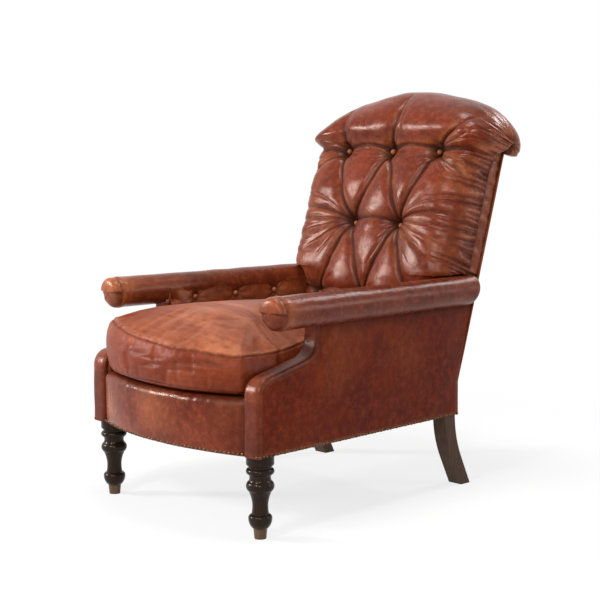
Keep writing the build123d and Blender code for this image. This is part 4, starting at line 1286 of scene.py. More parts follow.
@dataclass
class ArmLeather:
    """Leather of one arm: facing, outside panel, roll and buttoned inside."""

    plan: ChairPlan
    hand: Hand
    cap_length: float = 0.021
    cap_power: float = 2.9
    seam_back: float = 0.0215
    seam_size: float = 0.0022
    roll_end: float = 0.016
    pad_face: float = -0.0486
    pad_low: float = 0.286
    pad_rear: float = 0.640
    pad_front: float = 0.014
    button_first: float = 0.274
    button_pitch: float = 0.127
    button_height: float = 0.457

    @property
    def side(self) -> str:
        """Name of the side."""
        return self.hand.name.lower()

    @property
    def roll_front(self) -> float:
        """Front of the roll from the facing, a little further back on the more worn right arm."""
        return 0.034 if self.hand is Hand.LEFT else 0.038

    def facing(self) -> bpy.types.Object:
        """Padded strip carried along the S-curve of the arm front, with a boxy rounded section.

        Returns:
            The strip, standing for the CAD facing.
        """
        path = self.plan.arm_front(0.0, 190)
        tangent = np.gradient(path, axis=0)
        tangent /= np.linalg.norm(tangent, axis=1, keepdims=True)
        normal = np.stack([-tangent[:, 1], tangent[:, 0]], axis=1)
        angle = np.linspace(0, 2 * np.pi, 64, endpoint=False)
        half = self.plan.facing_width / 2
        t = -half + (half + 0.0005) * np.sign(np.cos(angle)) * np.abs(np.cos(angle)) ** (2 / 4.5)
        n = -0.006 + 0.0085 * np.sign(np.sin(angle)) * np.abs(np.sin(angle)) ** (2 / 2.6)
        flat = stacked(path[:, :1], path[:, 1:], t)
        n = n[None, :] + 0.0006 * SoftNoise(51 + self.hand.value).at(flat, 0.03)
        s = path[:, 0, None] + n * normal[:, 0, None]
        h = path[:, 1, None] + n * normal[:, 1, None]
        points = self.plan.side(s, h, t[None, :], self.hand)
        edge = np.abs(np.cos(angle)) ** 6 * (np.sin(angle) > -0.2)
        bend = bell(path[:, 0], 0.02, 0.03) * (path[:, 1] > 0.3)
        wear = 0.05 * edge[None, :] + 0.16 * bend[:, None] * np.clip(np.sin(angle), 0, 1)[None, :]
        # Crease mark: darkens the whole facing evenly, its back and under side more as painted shade, and
        # less at the shoulder
        crease = 0.36 + 0.30 * (np.sin(angle) < -0.1)[None, :] - 0.26 * bend[:, None] + 0 * wear
        made = Skin.tube(points, crease, wear).to_object(f"arm_facing_leather_{self.side}", HIDE)
        return fit_out(made, Body.FRAME, (f"arm_facing_{self.side}",))

    def outside(self) -> bpy.types.Object:
        """Outside panel under the roll, bounded by the S-curve, the leaning rear edge and the lower edge.

        Returns:
            The panel, standing for the CAD one.
        """
        plan = self.plan
        curve = plan.arm_front(0.004, 240)
        share = np.concatenate([np.linspace(0, 0.34, 90), np.linspace(0.34, 1, 71)[1:]])[None, :]
        rise = np.linspace(0, 1, 111)[:, None]
        length = float(plan.rear_edge(0))
        s0 = 0.004 + share * (length - 0.006)
        under_roll = plan.roll_height - 0.7 * plan.roll_radius
        top = np.where(s0 < curve[-1, 0], np.interp(s0, curve[:, 0], curve[:, 1]), under_roll)
        h = plan.leather_base + rise * (top - plan.leather_base)
        s = s0 + (plan.rear_edge(h) - length) * smooth(0.45, 1, share)
        edge = np.minimum(top - h + 0.3 * smooth(0.186, 0.27, s0), np.minimum(s, plan.rear_edge(h) - s))
        edge = np.minimum(edge, h - plan.leather_base)
        flat = stacked(s, h, 0)
        noise = SoftNoise(61 + self.hand.value)
        t = 0.0015 + 0.0025 * smooth(0.01, 0.12, edge) - 0.006 * (1 - smooth(0, 0.011, edge))
        t = t + 0.0009 * noise.at(flat, 0.07) + 0.0004 * noise.at(flat, (0.02, 0.03, 1))
        wear = 0.4 * bell(edge, 0.004, 0.004) + 0.2 * np.clip(noise.at(flat, 0.12), 0, 1)
        # Crease mark: darker at the tucked edges, and at the top under the roll as painted shadow
        crease = 0.5 * (1 - smooth(0, 0.0025, edge)) + 0.65 * smooth(0.415, 0.45, h)
        points = plan.side(s, h, t, self.hand)
        inward = plan.side(s, h, t - 0.008, self.hand) - points
        skin = Skin.slab(points, inward, crease, wear)
        made = skin.to_object(f"outside_arm_leather_{self.side}", DRY_SHADED_PANEL_HIDE)
        return fit_out(made, Body.FRAME, (f"outside_arm_{self.side}",))

    def roll(self) -> bpy.types.Object:
        """Round arm roll with a seam ring and a folded, gathered front cap.

        The radius rises from the cap's middle as (1 - (1 - a)^p)^(1/p), dips at the seam ring and is turned
        in again where the roll meets the outside back.

        Returns:
            The roll, standing for the CAD one.
        """
        plan = self.plan
        cap = np.linspace(0, 1, 40) ** 1.3
        body = np.linspace(0, 1, 190)[1:]
        angle = np.linspace(0, 2 * np.pi, 120, endpoint=False)[None, :]
        front = self.roll_front
        start = front + self.cap_length
        sine = np.sin(angle)
        end = plan.rear_edge(plan.roll_height + plan.roll_radius * sine) - self.roll_end
        on_front = front + self.cap_length * cap[:, None] + 0 * angle
        s = np.concatenate([on_front, start + body[:, None] * (end - start)])
        power = self.cap_power
        full = np.concatenate([(1 - (1 - cap) ** power) ** (1 / power), np.ones(len(body))])[:, None]
        gap = end - s
        full = full * (1 - 0.35 * (1 - smooth(-0.002, 0.016, gap)) ** 2)
        noise = SoftNoise(71 + self.hand.value)
        flat = stacked(s, 0.04 * np.cos(angle), 0.04 * sine)
        ring = bell(s - front, self.seam_back, self.seam_size)
        on_cap = 1 - smooth(front + 0.014, front + 0.024, s)
        flap = smooth(-0.02, 0.14, sine * full - 0.06 * noise.at(flat, 0.02))
        pleat = np.abs(np.sin(4 * angle + 0.9 * np.sin(2 * angle) + 0.4)) ** 0.8 * (1 - flap) * full**2
        radius = plan.roll_radius * full - self.seam_size * ring + 0.0009 * noise.at(flat, 0.045)
        radius = radius - 0.0014 * on_cap * pleat + 0.0012 * bell(s - front, 0.03, 0.006)
        gathers = noise.at(stacked(s, 0.06 * angle, 0), (0.05, 0.009, 1))
        radius = radius + 0.0008 * gathers * np.exp(-((s - front - 0.024) / 0.03).clip(0) ** 2) * (1 - on_cap)
        forward = -0.0040 * on_cap * flap * full + 0.0030 * on_cap * (1 - flap) + 0.0020 * on_cap * pleat
        t = -plan.roll_inset + radius * np.cos(angle)
        points = plan.side(s + forward, plan.roll_height + radius * sine, t, self.hand)
        step = bell(sine * full - 0.02, 0.06 * noise.at(flat, 0.02), 0.05) * on_cap
        # Painted shade: the cap below its folded flap is darkened
        shaded_lower_cap = on_cap * (1 - flap) * (0.35 + 0.25 * (1 - pleat)) * full
        crease = 0.55 * ring + 0.55 * step * (full > 0.3) + shaded_lower_cap
        # Painted shade: the underside of the roll is darkened
        crease = crease + 0.5 * np.clip(-sine - 0.75, 0, 1) * (1 - on_cap)
        bright = bell(s - front, 0.010, 0.012) * np.clip(sine + 0.3, 0, 1)
        wear = 0.28 * bright + 0.24 * bell(s - front, 0.034, 0.02) + 0.3 * (1 - smooth(0, 0.025, gap))
        wear = wear + 0.25 * np.clip(sine, 0, 1) ** 2 * np.clip(noise.at(flat, 0.09), 0, 1)
        wear = wear + (self.hand is Hand.RIGHT) * (0.06 + 0.16 * bell(s, front, 0.16))
        made = Skin.tube(points, np.clip(crease, 0, 1), wear).to_object(f"arm_roll_leather_{self.side}", HIDE)
        return fit_out(made, Body.FRAME, (f"arm_roll_{self.side}",))

    def button_places(self) -> list[tuple[float, float]]:
        """Distance back and height of the three buttons."""
        return [(self.button_first + k * self.button_pitch, self.button_height) for k in range(3)]

    def inside(self) -> bpy.types.Object:
        """Buttoned inside of the arm, which runs up into the roll.

        Above the middle of the roll the face follows the roll's circle, just under it; below it stands out
        to the pad's face, and its front edge follows the S-curve.

        Returns:
            The pad, standing for the CAD one.
        """
        plan = self.plan
        curve = plan.arm_front(0.012, 240)
        throat = plan.throat + self.pad_front
        turn = plan.throat / (self.pad_rear - self.pad_front)
        share = np.concatenate([np.linspace(0, turn - 1e-4, 64), np.linspace(turn + 1e-4, 1, 150)])[None, :]
        rise = np.linspace(0, 1, 91)[:, None]
        s = self.pad_front + share * (self.pad_rear - self.pad_front)
        crown = plan.roll_height + 0.6 * plan.roll_radius
        front_top = np.interp(s, curve[:, 0], curve[:, 1])
        top = np.where(s < throat, front_top, crown)
        h = self.pad_low + rise * (top - self.pad_low)
        lift = np.clip((h - plan.roll_height) / plan.roll_radius, 0, 0.95)
        circle = -plan.roll_inset - (plan.roll_radius - 0.0012 * smooth(0, 0.5, lift)) * np.sqrt(1 - lift**2)
        out = smooth(0, 0.034, plan.roll_height - h)
        t = circle + (self.pad_face - circle) * out
        front_edge = np.where(s < throat, top - h, 1)
        dip = plan.roll_height - h
        under = -plan.roll_inset - np.sqrt(plan.roll_radius**2 - np.clip(dip, 0, 0.8 * plan.roll_radius) ** 2)
        laid = np.where(dip < 0, circle, under)
        clear = np.maximum(smooth(0.0, 0.035, s - plan.throat - self.pad_front), smooth(0.020, 0.034, dip))
        t = laid + (t - laid) * clear + 0.006 * (1 - smooth(0, 0.014, front_edge))
        fold = np.zeros(s.shape) + 0 * h
        for place, height in self.button_places():
            reach = np.hypot(s - place, (h - height) * 1.15)
            angle = np.arctan2(h - height, s - place)
            fold = fold + 0.0045 * bell(reach, 0, 0.030, 1.6) + 0.0065 * bell(reach, 0, 0.0125)
            fold = fold + 0.0008 * bell(reach, 0.024, 0.014) * np.cos(9 * angle + place * 30)
            spread = np.abs(s - place - 0.25 * (h - height) * np.sin(90 * place))
            fold = fold + 0.0015 * bell(spread, 0, 0.006, 1.2) * smooth(0.0, 0.05, height - h + 0.01)
        noise = SoftNoise(81 + self.hand.value)
        flat = stacked(s, h, 0)
        t = t + fold - 0.0009 * noise.at(flat, 0.05) * out
        points = plan.side(s + 0 * h, h, t, self.hand)
        inward = plan.side(s + 0 * h, h, t + 0.006, self.hand) - points
        crease = np.clip(fold / 0.012, 0, 1) ** 1.4
        wear = 0.16 + 0.45 * bell(fold, 0.003, 0.0025) * np.clip(0.3 + noise.at(flat, 0.04), 0, 1)
        made = Skin.slab(points, inward, crease, wear).to_object(f"inside_arm_leather_{self.side}", HIDE)
        return fit_out(made, Body.FRAME, (f"inside_arm_pad_{self.side}",))

    def build(self) -> None:
        """Make all the pieces of the arm."""
        self.facing()
        self.outside()
        self.roll()
        self.inside()


@dataclass
class FrontBorder:
    """Bowed, padded border under the cushion."""

    plan: ChairPlan
    top: float = 0.301
    round: float = 0.017

    @property
    def half(self) -> float:
        """Half width between the facings."""
        return self.plan.side_front_x - self.plan.facing_width - 0.0005

    def build(self) -> bpy.types.Object:
        """Carry a section along the bow: up the face, round the top edge and back under the cushion.

        Returns:
            The border, standing for the CAD one.
        """
        plan = self.plan
        x = np.linspace(-self.half, self.half, 181)[None, :]
        arc = plan.front_arc(x, self.half, plan.front_bow)
        section = rounded_path(
            [(0, plan.leather_base), (0, self.top), (0.055, self.top + 0.001)], [self.round], 70
        )
        run = np.linspace(0, 1, 70)[:, None]
        inset, h = section[:, :1], section[:, 1:]
        face = np.clip((h - plan.leather_base) / (self.top - plan.leather_base), 0, 1)
        end = self.half - np.abs(x)
        flat = stacked(x, h, inset)
        noise = SoftNoise(91)
        puff = 0.006 * np.sin(np.pi * face) ** 0.8 * smooth(0, 0.05, end) + 0.001 * noise.at(flat, 0.06)
        gather = 0.0007 * SoftNoise(93).at(flat, (0.007, 0.06, 1)) * smooth(0.7, 0.95, face)
        tuck = 0.006 * (1 - smooth(0, 0.012, end)) + 0.003 * (1 - smooth(0, 0.008, h - plan.leather_base))
        y = arc + inset - puff - gather + tuck
        front = stacked(x, y, h + 0.0012 * noise.at(flat, 0.05) * face)
        patch = np.clip(0.4 + noise.at(flat * np.array([1, 2, 1]), 0.11), 0, 1)
        wear = 0.42 * patch * np.sin(np.pi * face) * (1 - 0.75 * smooth(-0.08, 0.18, x))
        wear = wear + 0.3 * bell(face, 0.93, 0.07) * patch
        # Crease mark: darker at the tucked ends; painted shade over the top edge and under the cushion, and
        # at the +X end, which turns away from the lamps
        crease = 0.55 * (1 - smooth(0, 0.006, end)) + 0.6 * smooth(0.5, 0.9, run)
        crease = crease + 0.25 * smooth(0.12, 0.24, x)
        skin = Skin.slab(front, np.array([0, 0.004, -0.002]), crease, wear)
        made = skin.to_object("front_border_leather", HIDE)
        return fit_out(made, Body.FRAME, ("front_border",))


@dataclass
class SeatCushion:
    """Loose bow-fronted cushion with a sewn border, inflated as cloth."""

    plan: ChairPlan
    front_half: float = 0.233
    rear_half: float = 0.205
    front_corner: float = 0.003
    bow: float = 0.066
    depth: float = 0.552
    draw: float = 0.005
    low_seam: float = 0.013
    seam_low: float = 0.0905
    seam_tilt: float = 0.0365
    seam_rear: float = 0.122
    crown: float = 0.062
    bulge: float = 0.03
    voxel: float = 0.0056
    pressure: float = 4.0
    cap: float = 0.022
    frames: int = 20
    top_creases: int = 12
    border_creases: int = 26
    seam_width: float = 0.0019
    seam_groove: float = 0.0022
    seam_ridge: float = 0.0012
    hollow: float = 0.008
    seed: int = 29

    def seam_height(self, x: Array, d: Array) -> Array:
        """Height of the top seam: sat down at the left front, and higher to the right and to the back.

        Args:
            x: Distance to the sitter's left.
            d: Distance back from the facings.

        Returns:
            Heights above the platform.
        """
        across = np.clip((0.2 - x) / (0.2 + self.front_half), 0, 1.2)
        front = self.seam_low + self.seam_tilt * across**1.25
        return front + (self.seam_rear - front) * smooth(0.07, 0.33, d)

    def outline(self, count: int) -> Array:
        """Plan of the cushion: a bowed front and drawn-in sides, with its corners eased by averaging.

        Args:
            count: Number of points round it.

        Returns:
            Rows of x and distance back.
        """
        corners = [
            (-self.front_half, self.front_corner), (self.front_half, self.front_corner),
            (self.rear_half, self.depth), (-self.rear_half, self.depth),
        ]
        share = np.linspace(0, 1, 200, endpoint=False)[:, None]
        edges = []
        for k, bow in enumerate((self.bow, -self.draw, -self.draw, -self.draw)):
            first, second = np.array(corners[k]), np.array(corners[(k + 1) % 4])
            run = (second - first) / np.linalg.norm(second - first)
            out = np.array([run[1], -run[0]])
            edges.append(first + share * (second - first) + 4 * bow * share * (1 - share) * out)
        even = resample(np.concatenate([*edges, edges[0][:1]]), count + 1)[:-1]
        wave = np.fft.fft(even, axis=0)
        turn = np.fft.fftfreq(count)[:, None] * count
        eased = np.fft.ifft(wave * bell(turn, 0, 48), axis=0)
        return eased.real

    def form(self) -> bpy.types.Object:
        """Closed starting form: rings from the middle of the top, down the border and in underneath.

        Returns:
            The form as an object.
        """
        plan = self.outline(280)
        centre = plan.mean(axis=0)
        top = np.linspace(0.02, 1, 44)
        side = np.linspace(0, 1, 16)[1:]
        under = np.linspace(1, 0.02, 30)[1:]
        size = np.concatenate([top, 1 + self.bulge * np.sin(np.pi * side), under])[:, None, None]
        seam = self.seam_height(plan[:, 0], plan[:, 1])[None, :]
        level = self.seam_low + 0.4 * self.seam_tilt
        rise = np.concatenate([
            level + (seam - level) * top[:, None] ** 6 + self.crown * (1 - top[:, None] ** 4),
            seam - (seam - self.low_seam) * side[:, None],
            self.low_seam * smooth(0.86, 1, under)[:, None] + 0 * seam,
        ])
        ring = centre + (plan - centre)[None] * size
        points = self.plan.deck(ring[..., 0], ring[..., 1], rise)
        return Skin.tube(points).to_object("seat_cushion_form", CUSHION_HIDE)

    def local(self, points: Array) -> tuple[Array, Array, Array]:
        """Turn points into the platform's own measures.

        Args:
            points: Rows of three coordinates.

        Returns:
            Distance to the sitter's left, distance back and height above the platform.
        """
        sine, cosine = math.sin(self.plan.deck_slope), math.cos(self.plan.deck_slope)
        y, z = points[:, 1] - self.plan.front_y, points[:, 2] - self.plan.deck_height
        return points[:, 0], y * cosine - z * sine, y * sine + z * cosine

    def inflate(self, piece: bpy.types.Object) -> Array:
        """Blow the form up as cloth that is held at its seams and underneath.

        Args:
            piece: The remeshed form.

        Returns:
            New places of its points, none moved further than the cap.
        """
        start = read_points(piece.data)
        x, d, height = self.local(start)
        hold = np.maximum(
            0.5 * bell(height, self.seam_height(x, d), 0.004),
            1 - smooth(self.low_seam - 0.001, self.low_seam + 0.008, height),
        )
        group = piece.vertex_groups.new(name="held_at_seams")
        for level in np.linspace(0.1, 1, 10):
            chosen = np.flatnonzero(np.abs(hold - level) <= 0.05)
            group.add(chosen.tolist(), float(level), "REPLACE")
        cloth = piece.modifiers.new("leather", "CLOTH")
        settings = cloth.settings
        settings.quality = 6
        settings.mass = 0.4
        settings.tension_stiffness = settings.compression_stiffness = 14
        settings.shear_stiffness = 6
        settings.bending_stiffness = 4
        settings.shrink_min = -0.012
        settings.vertex_group_mass = group.name
        settings.pin_stiffness = 1.0
        settings.use_pressure = True
        settings.uniform_pressure_force = self.pressure
        settings.effector_weights.gravity = 0
        cloth.point_cache.frame_start, cloth.point_cache.frame_end = 1, self.frames
        scene = bpy.context.scene
        for number in range(1, self.frames + 1):
            scene.frame_set(number)
        shaped = piece.evaluated_get(bpy.context.evaluated_depsgraph_get())
        end = read_points(shaped.data)
        piece.modifiers.remove(cloth)
        scene.frame_set(1)
        step = end - start
        length = np.linalg.norm(step, axis=1, keepdims=True)
        return start + step * np.minimum(1, self.cap / np.maximum(length, 1e-9))

    def creases(self) -> tuple[list[Fold], list[Fold]]:
        """Long soft creases at seeded places.

        Returns:
            Creases over the top in plan, and creases along the front border.
        """
        rng = np.random.default_rng(self.seed)
        top, border = [], []
        for _ in range(self.top_creases):
            start = np.array([0.225, rng.uniform(0.04, 0.40)])
            turn = np.pi + rng.uniform(-0.15, 0.6)
            end = start + rng.uniform(0.10, 0.30) * np.array([np.cos(turn), np.sin(turn)])
            depth = rng.uniform(0.0016, 0.0042)
            width = (rng.uniform(0.009, 0.020), rng.uniform(0.004, 0.007))
            bow = rng.uniform(-0.02, 0.02)
            top.append(Fold(tuple(start), tuple(end), bow, (0.0, depth, 0.0), width, 1.3))
        for _ in range(self.border_creases):
            start = np.array([rng.uniform(-0.18, 0.18), rng.uniform(0.02, 0.085)])
            end = start + np.array([rng.uniform(0.07, 0.20), rng.uniform(-0.012, 0.036)])
            depth = rng.uniform(0.0016, 0.0046)
            width = (rng.uniform(0.006, 0.012), rng.uniform(0.003, 0.0045))
            bow = rng.uniform(-0.012, 0.012)
            border.append(Fold(tuple(start), tuple(end), bow, (0.0, depth, 0.0), width, 1.3))
        return top, border

    def sew(self, mesh: bpy.types.Mesh) -> None:
        """Press in the seams, lay long creases in the leather and mark creases, as patina and painted shade,
        and wear.

        Args:
            mesh: The inflated and subdivided mesh, changed in place.
        """
        points = read_points(mesh)
        normals = np.zeros(len(points) * 3, np.float32)
        mesh.vertex_normals.foreach_get("vector", normals)
        normals = normals.reshape(-1, 3).astype(float)
        x, d, e = self.local(points)
        noise, fine = SoftNoise(101), SoftNoise(103)
        flat = stacked(x, d, 0)
        wave = 0.0015 * noise.at(flat, 0.07)
        top_gap = e - self.seam_height(x, d) - wave
        low_gap = e - self.low_seam - 0.002 - wave
        rim = smooth(0.15, 0.5, np.hypot(normals[:, 0], normals[:, 1]))
        groove = bell(top_gap, 0, self.seam_width) + bell(low_gap, 0, self.seam_width)
        ridge = bell(top_gap, 0.005, 0.003) + 0.6 * bell(low_gap, -0.005, 0.003)
        pucker = fine.at(flat, 0.012) * bell(top_gap, 0, 0.017) * rim
        above = smooth(-0.004, 0.012, top_gap)
        long = np.zeros(len(points))
        over, along = self.creases()
        for fold in over:
            long = np.maximum(long, fold.carve(x, d) * above)
        facing = (1 - above) * smooth(0.2, 0.6, -normals[:, 1])
        for fold in along:
            long = np.maximum(long, fold.carve(x, e) * facing)
        lumps = noise.at(points, (0.10, 0.07, 0.05))
        seams = rim * (self.seam_ridge * ridge - self.seam_groove * groove)
        push = seams + 0.0010 * pucker - long + 0.0018 * lumps
        push = push - self.hollow * above * np.exp(-((x / 0.15) ** 2) - ((d - 0.28) / 0.2) ** 2)
        moved = points + normals * push[:, None]
        mesh.vertices.foreach_set("co", moved.astype(np.float32).ravel())
        streak = np.clip(1.3 * noise.at(flat + 3, (0.16, 0.03, 1)), 0, 1)
        rubbed = 0.18 + (0.16 + 0.42 * streak) * smooth(-0.17, 0.1, x)
        crease = rim * groove * 0.45 + 0.5 * (long / 0.0040) ** 1.5
        wear = 0.3 * rim * ridge + above * rubbed + 0.2 * np.clip(pucker, 0, 1)
        wear = wear + 0.25 * np.clip(lumps, 0, 1)
        for name, values in (("crease", crease), ("wear", wear)):
            mark = mesh.attributes.get(name) or mesh.attributes.new(name, "FLOAT", "POINT")
            mark.data.foreach_set("value", np.clip(values, 0, 1).astype(np.float32))
        mesh.update()

    def build(self) -> bpy.types.Object:
        """Form, remesh, inflate, subdivide and sew the cushion.

        Returns:
            The cushion, standing for the CAD case and core.
        """
        form = self.form()
        piece = baked(form, "seat_cushion_leather", ("REMESH", {"mode": "VOXEL", "voxel_size": self.voxel}))
        piece.data.vertices.foreach_set("co", self.inflate(piece).astype(np.float32).ravel())
        piece.vertex_groups.clear()
        fine = baked(piece, "seat_cushion_leather", ("SUBSURF", {"levels": 1, "render_levels": 1}))
        self.sew(fine.data)
        fine.data.materials.clear()
        fine.data.materials.append(CUSHION_HIDE.material())
        fine.data.shade_smooth()
        return fit_out(fine, Body.CUSHION, ("cushion_case", "cushion_core"))


@dataclass
class Studs:
    """Repeated small domes: leather buttons and brass nails."""

    plan: ChairPlan
    nail_radius: float = 0.0039
    nail_rise: float = 0.0022
    nail_pitch: float = 0.0108
    nail_height: float = 0.1836
    button_rise: float = 0.006

    @staticmethod
    def dome(radius: float, rise: float, rings: int, sides: int) -> Skin:
        """Low dome on a short skirt, standing on the XY plane.

        Its height falls from the rise as the square root of 1 minus share squared.

        Args:
            radius: Radius of the dome.
            rise: Height of the dome.
            rings: Number of rings from the top to the edge.
            sides: Number of points round it.

        Returns:
            The closed surface.
        """
        share = np.concatenate([np.linspace(0.08, 1, rings), [1.0, 0.6]])[:, None]
        angle = np.linspace(0, 2 * np.pi, sides, endpoint=False)[None, :]
        z = rise * np.sqrt(np.clip(1 - share**2, 0, 1)) * np.ones_like(angle)
        z[-2:] = -0.25 * rise
        points = stacked(radius * share * np.cos(angle), radius * share * np.sin(angle), z)
        return Skin.tube(points)

    @staticmethod
    def scatter(template: Skin, places: Array, outward: Array) -> Skin:
        """Copy a template to many places, its Z turned to each outward direction.

        Args:
            template: Surface to copy.
            places: Points, one row per copy.
            outward: Unit directions, one row per copy.

        Returns:
            All the copies as one surface.
        """
        helper = np.where(np.abs(outward[:, 2:]) < 0.9, [[0, 0, 1.0]], [[1.0, 0, 0]])
        first = np.cross(helper, outward)
        first /= np.linalg.norm(first, axis=1, keepdims=True)
        second = np.cross(outward, first)
        axes = np.stack([first, second, outward], axis=1)
        points = np.einsum("nk,pkj->pnj", template.points, axes) + places[:, None, :]
        size = len(template.points)
        starts = np.arange(len(places)) * size
        quads = (template.quads[None] + starts[:, None, None]).reshape(-1, 4)
        caps = [[i + int(start) for i in cap] for start in starts for cap in template.caps]
        return Skin(points.reshape(-1, 3), quads, caps)

    def buttons(self, name: str, node: str, places: Array, outward: Array) -> bpy.types.Object:
        """Leather-covered buttons.

        Args:
            name: Name of the piece.
            node: CAD node that it stands for.
            places: Points, one row per button.
            outward: Unit directions, one row per button.

        Returns:
            The buttons as one piece.
        """
        template = self.dome(self.plan.button_radius, self.button_rise, rings=7, sides=20)
        skin = self.scatter(template, places, outward)
        made = skin.to_object(name, BUTTON_HIDE)
        return fit_out(made, Body.FRAME, (node,))

    def nail_line(self) -> tuple[Array, Array]:
        """Line of the nails along the lower edge of the leather.

        Returns:
            Places and outward directions, one row per nail.
        """
        plan = self.plan
        half = plan.side_front_x - plan.facing_width
        x = np.linspace(-half, half, 200)
        bowed = np.stack([x, plan.front_arc(x, half, plan.front_bow) + 0.0005], axis=1)
        corner = np.array([plan.side_front_x - 0.001, plan.front_y - 0.0015])
        right_rear = np.array([plan.side_rear_x - 0.001, plan.rear_y + 0.001])
        flip = np.array([-1, 1])
        runs = [
            np.array([corner * flip, (half * -1, plan.front_y - 0.001)]), bowed,
            np.array([(half, plan.front_y - 0.001), corner]), np.array([corner, right_rear]),
            np.array([right_rear, right_rear * flip]), np.array([right_rear * flip, corner * flip]),
        ]
        places, ways = [], []
        for run in runs:
            length = np.linalg.norm(np.diff(run, axis=0), axis=1).sum()
            count = max(2, round(length / self.nail_pitch))
            dense = resample(run, 2 * count + 1)
            step = dense[2::2] - dense[:-2:2]
            step /= np.linalg.norm(step, axis=1, keepdims=True)
            places.append(dense[1::2])
            ways.append(np.stack([step[:, 1], -step[:, 0]], axis=1))
        flat, out = np.concatenate(places), np.concatenate(ways)
        uneven = 0.0005 * np.sin(np.arange(len(flat)) * 2.4)
        points = np.column_stack([flat, self.nail_height + uneven])
        return points, np.column_stack([out, np.zeros(len(out))])

    def nails(self) -> bpy.types.Object:
        """Close-set domed nails round the lower edge.

        Returns:
            The nails as one piece.
        """
        places, outward = self.nail_line()
        template = self.dome(self.nail_radius, self.nail_rise, rings=3, sides=8)
        made = self.scatter(template, places, outward).to_object("brass_nails", NAIL_BRASS)
        return fit_out(made, Body.FRAME)

    def build(self, back: InsideBack, arms: list[ArmLeather]) -> None:
        """Set all the buttons and nails.

        Args:
            back: Inside back, which says where its buttons are.
            arms: Both arms, which say where theirs are.
        """
        plan = self.plan
        spots = np.array(back.buttons())
        normal = plan.back(0, 0, 1.0) - plan.back(0, 0, 0.0)
        places = plan.back(spots[:, 0], spots[:, 1], np.full(len(spots), back.button_seat + 0.003))
        self.buttons("back_leather_buttons", "back_buttons", places, np.tile(normal, (len(spots), 1)))
        for arm in arms:
            spots = np.array(arm.button_places())
            depth = np.full(3, arm.pad_face + 0.0105)
            places = plan.side(spots[:, 0], spots[:, 1], depth, arm.hand)
            inward = plan.side(0.0, 0.0, -1.0, arm.hand) - plan.side(0.0, 0.0, 0.0, arm.hand)
            name = f"arm_leather_buttons_{arm.side}"
            self.buttons(name, f"arm_buttons_{arm.side}", places, np.tile(inward, (3, 1)))
        self.nails()


@dataclass
class ClothCovers:
    """Stretched cloths under the chair and under the cushion."""

    plan: ChairPlan
    platform_inset: float = 0.0103
    platform_crown: float = 0.004
    dust_inset: float = 0.0123
    dust_sag: float = 0.003

    def platform(self) -> bpy.types.Object:
        """Cover of the seat platform, crowned a little over the springs.

        Returns:
            The cover.
        """
        low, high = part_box("seat_platform_cover")
        across = np.linspace(-1, 1, 61)[None, :]
        back = np.linspace(0, 1, 71)[:, None]
        half = high.x + (self.plan.side_rear_x - self.plan.side_front_x) * back * 0.93
        x = across * half
        inset = self.platform_inset
        bow = (self.plan.front_y + inset - low.y) * (1 - across**2) * (1 - back)
        d = inset - bow + back * (high.y - self.plan.front_y - inset)
        rise = 0.0006 + self.platform_crown * (1 - across**2) * np.sin(np.pi * back)
        points = self.plan.deck(x, d, rise)
        made = Skin.slab(points, np.array([0, 0, -0.0016])).to_object("platform_cloth_cover", PLATFORM_CLOTH)
        fit_out(made, Body.FRAME, ("seat_platform_cover", "seat_stuffing"))
        return made

    def dust(self) -> bpy.types.Object:
        """Dust cloth under the seat rails, sagging a little between its edges.

        Returns:
            The cloth.
        """
        low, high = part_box("dust_cover")
        across = np.linspace(-1, 1, 41)[None, :]
        back = np.linspace(0, 1, 51)[:, None]
        half = high.x + (self.plan.side_rear_x - self.plan.side_front_x) * back * 0.97
        corner = self.plan.front_y + self.dust_inset
        bow = (corner - low.y) * (1 - across**2) * (1 - back)
        y = corner - bow + back * (high.y - corner)
        sag = self.dust_sag * (1 - across**2) * np.sin(np.pi * back)
        points = stacked(across * half, y, high.z - 0.0002 - sag)
        made = Skin.slab(points, np.array([0, 0, -0.0012])).to_object("dust_cloth_under", DUST_CLOTH)
        fit_out(made, Body.FRAME, ("dust_cover",))
        return made


class FrameFinishes:
    """Finishes of the CAD nodes that stay as they are."""

    BY_WORD: dict[str, tuple[Finish, str]] = {
        "front_leg": (TURNED_WOOD, "turned_wood"),
        "rear_post": (POST_WOOD, "turned_wood"),
        "springs": (SPRING_STEEL, "spring_steel"),
        "webbing": (LINEN, "linen"),
        "hessian": (LINEN, "linen"),
        "dust_cover": (DUST_CLOTH, "dust_cloth"),
        "stuffing": (STUFFING, "stuffing"),
        "platform": (PLATFORM_CLOTH, "linen"),
    }

    def dress(self) -> None:
        """Give every CAD node a finish: the one whose word is in its name, or the frame's wood."""
        for name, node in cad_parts.items():
            found = [pair for word, pair in self.BY_WORD.items() if word in name]
            finish, slot = found[0] if found else (FRAME_WOOD, "frame_wood")
            node.data.materials.clear()
            node.data.materials.append(finish.material())


@dataclass(frozen=True)
class Softbox:
    """Large soft rectangular lamp: where it is, how wide and high, and its power in watts."""

    name: str
    place: Place
    size: tuple[float, float]
    power: float


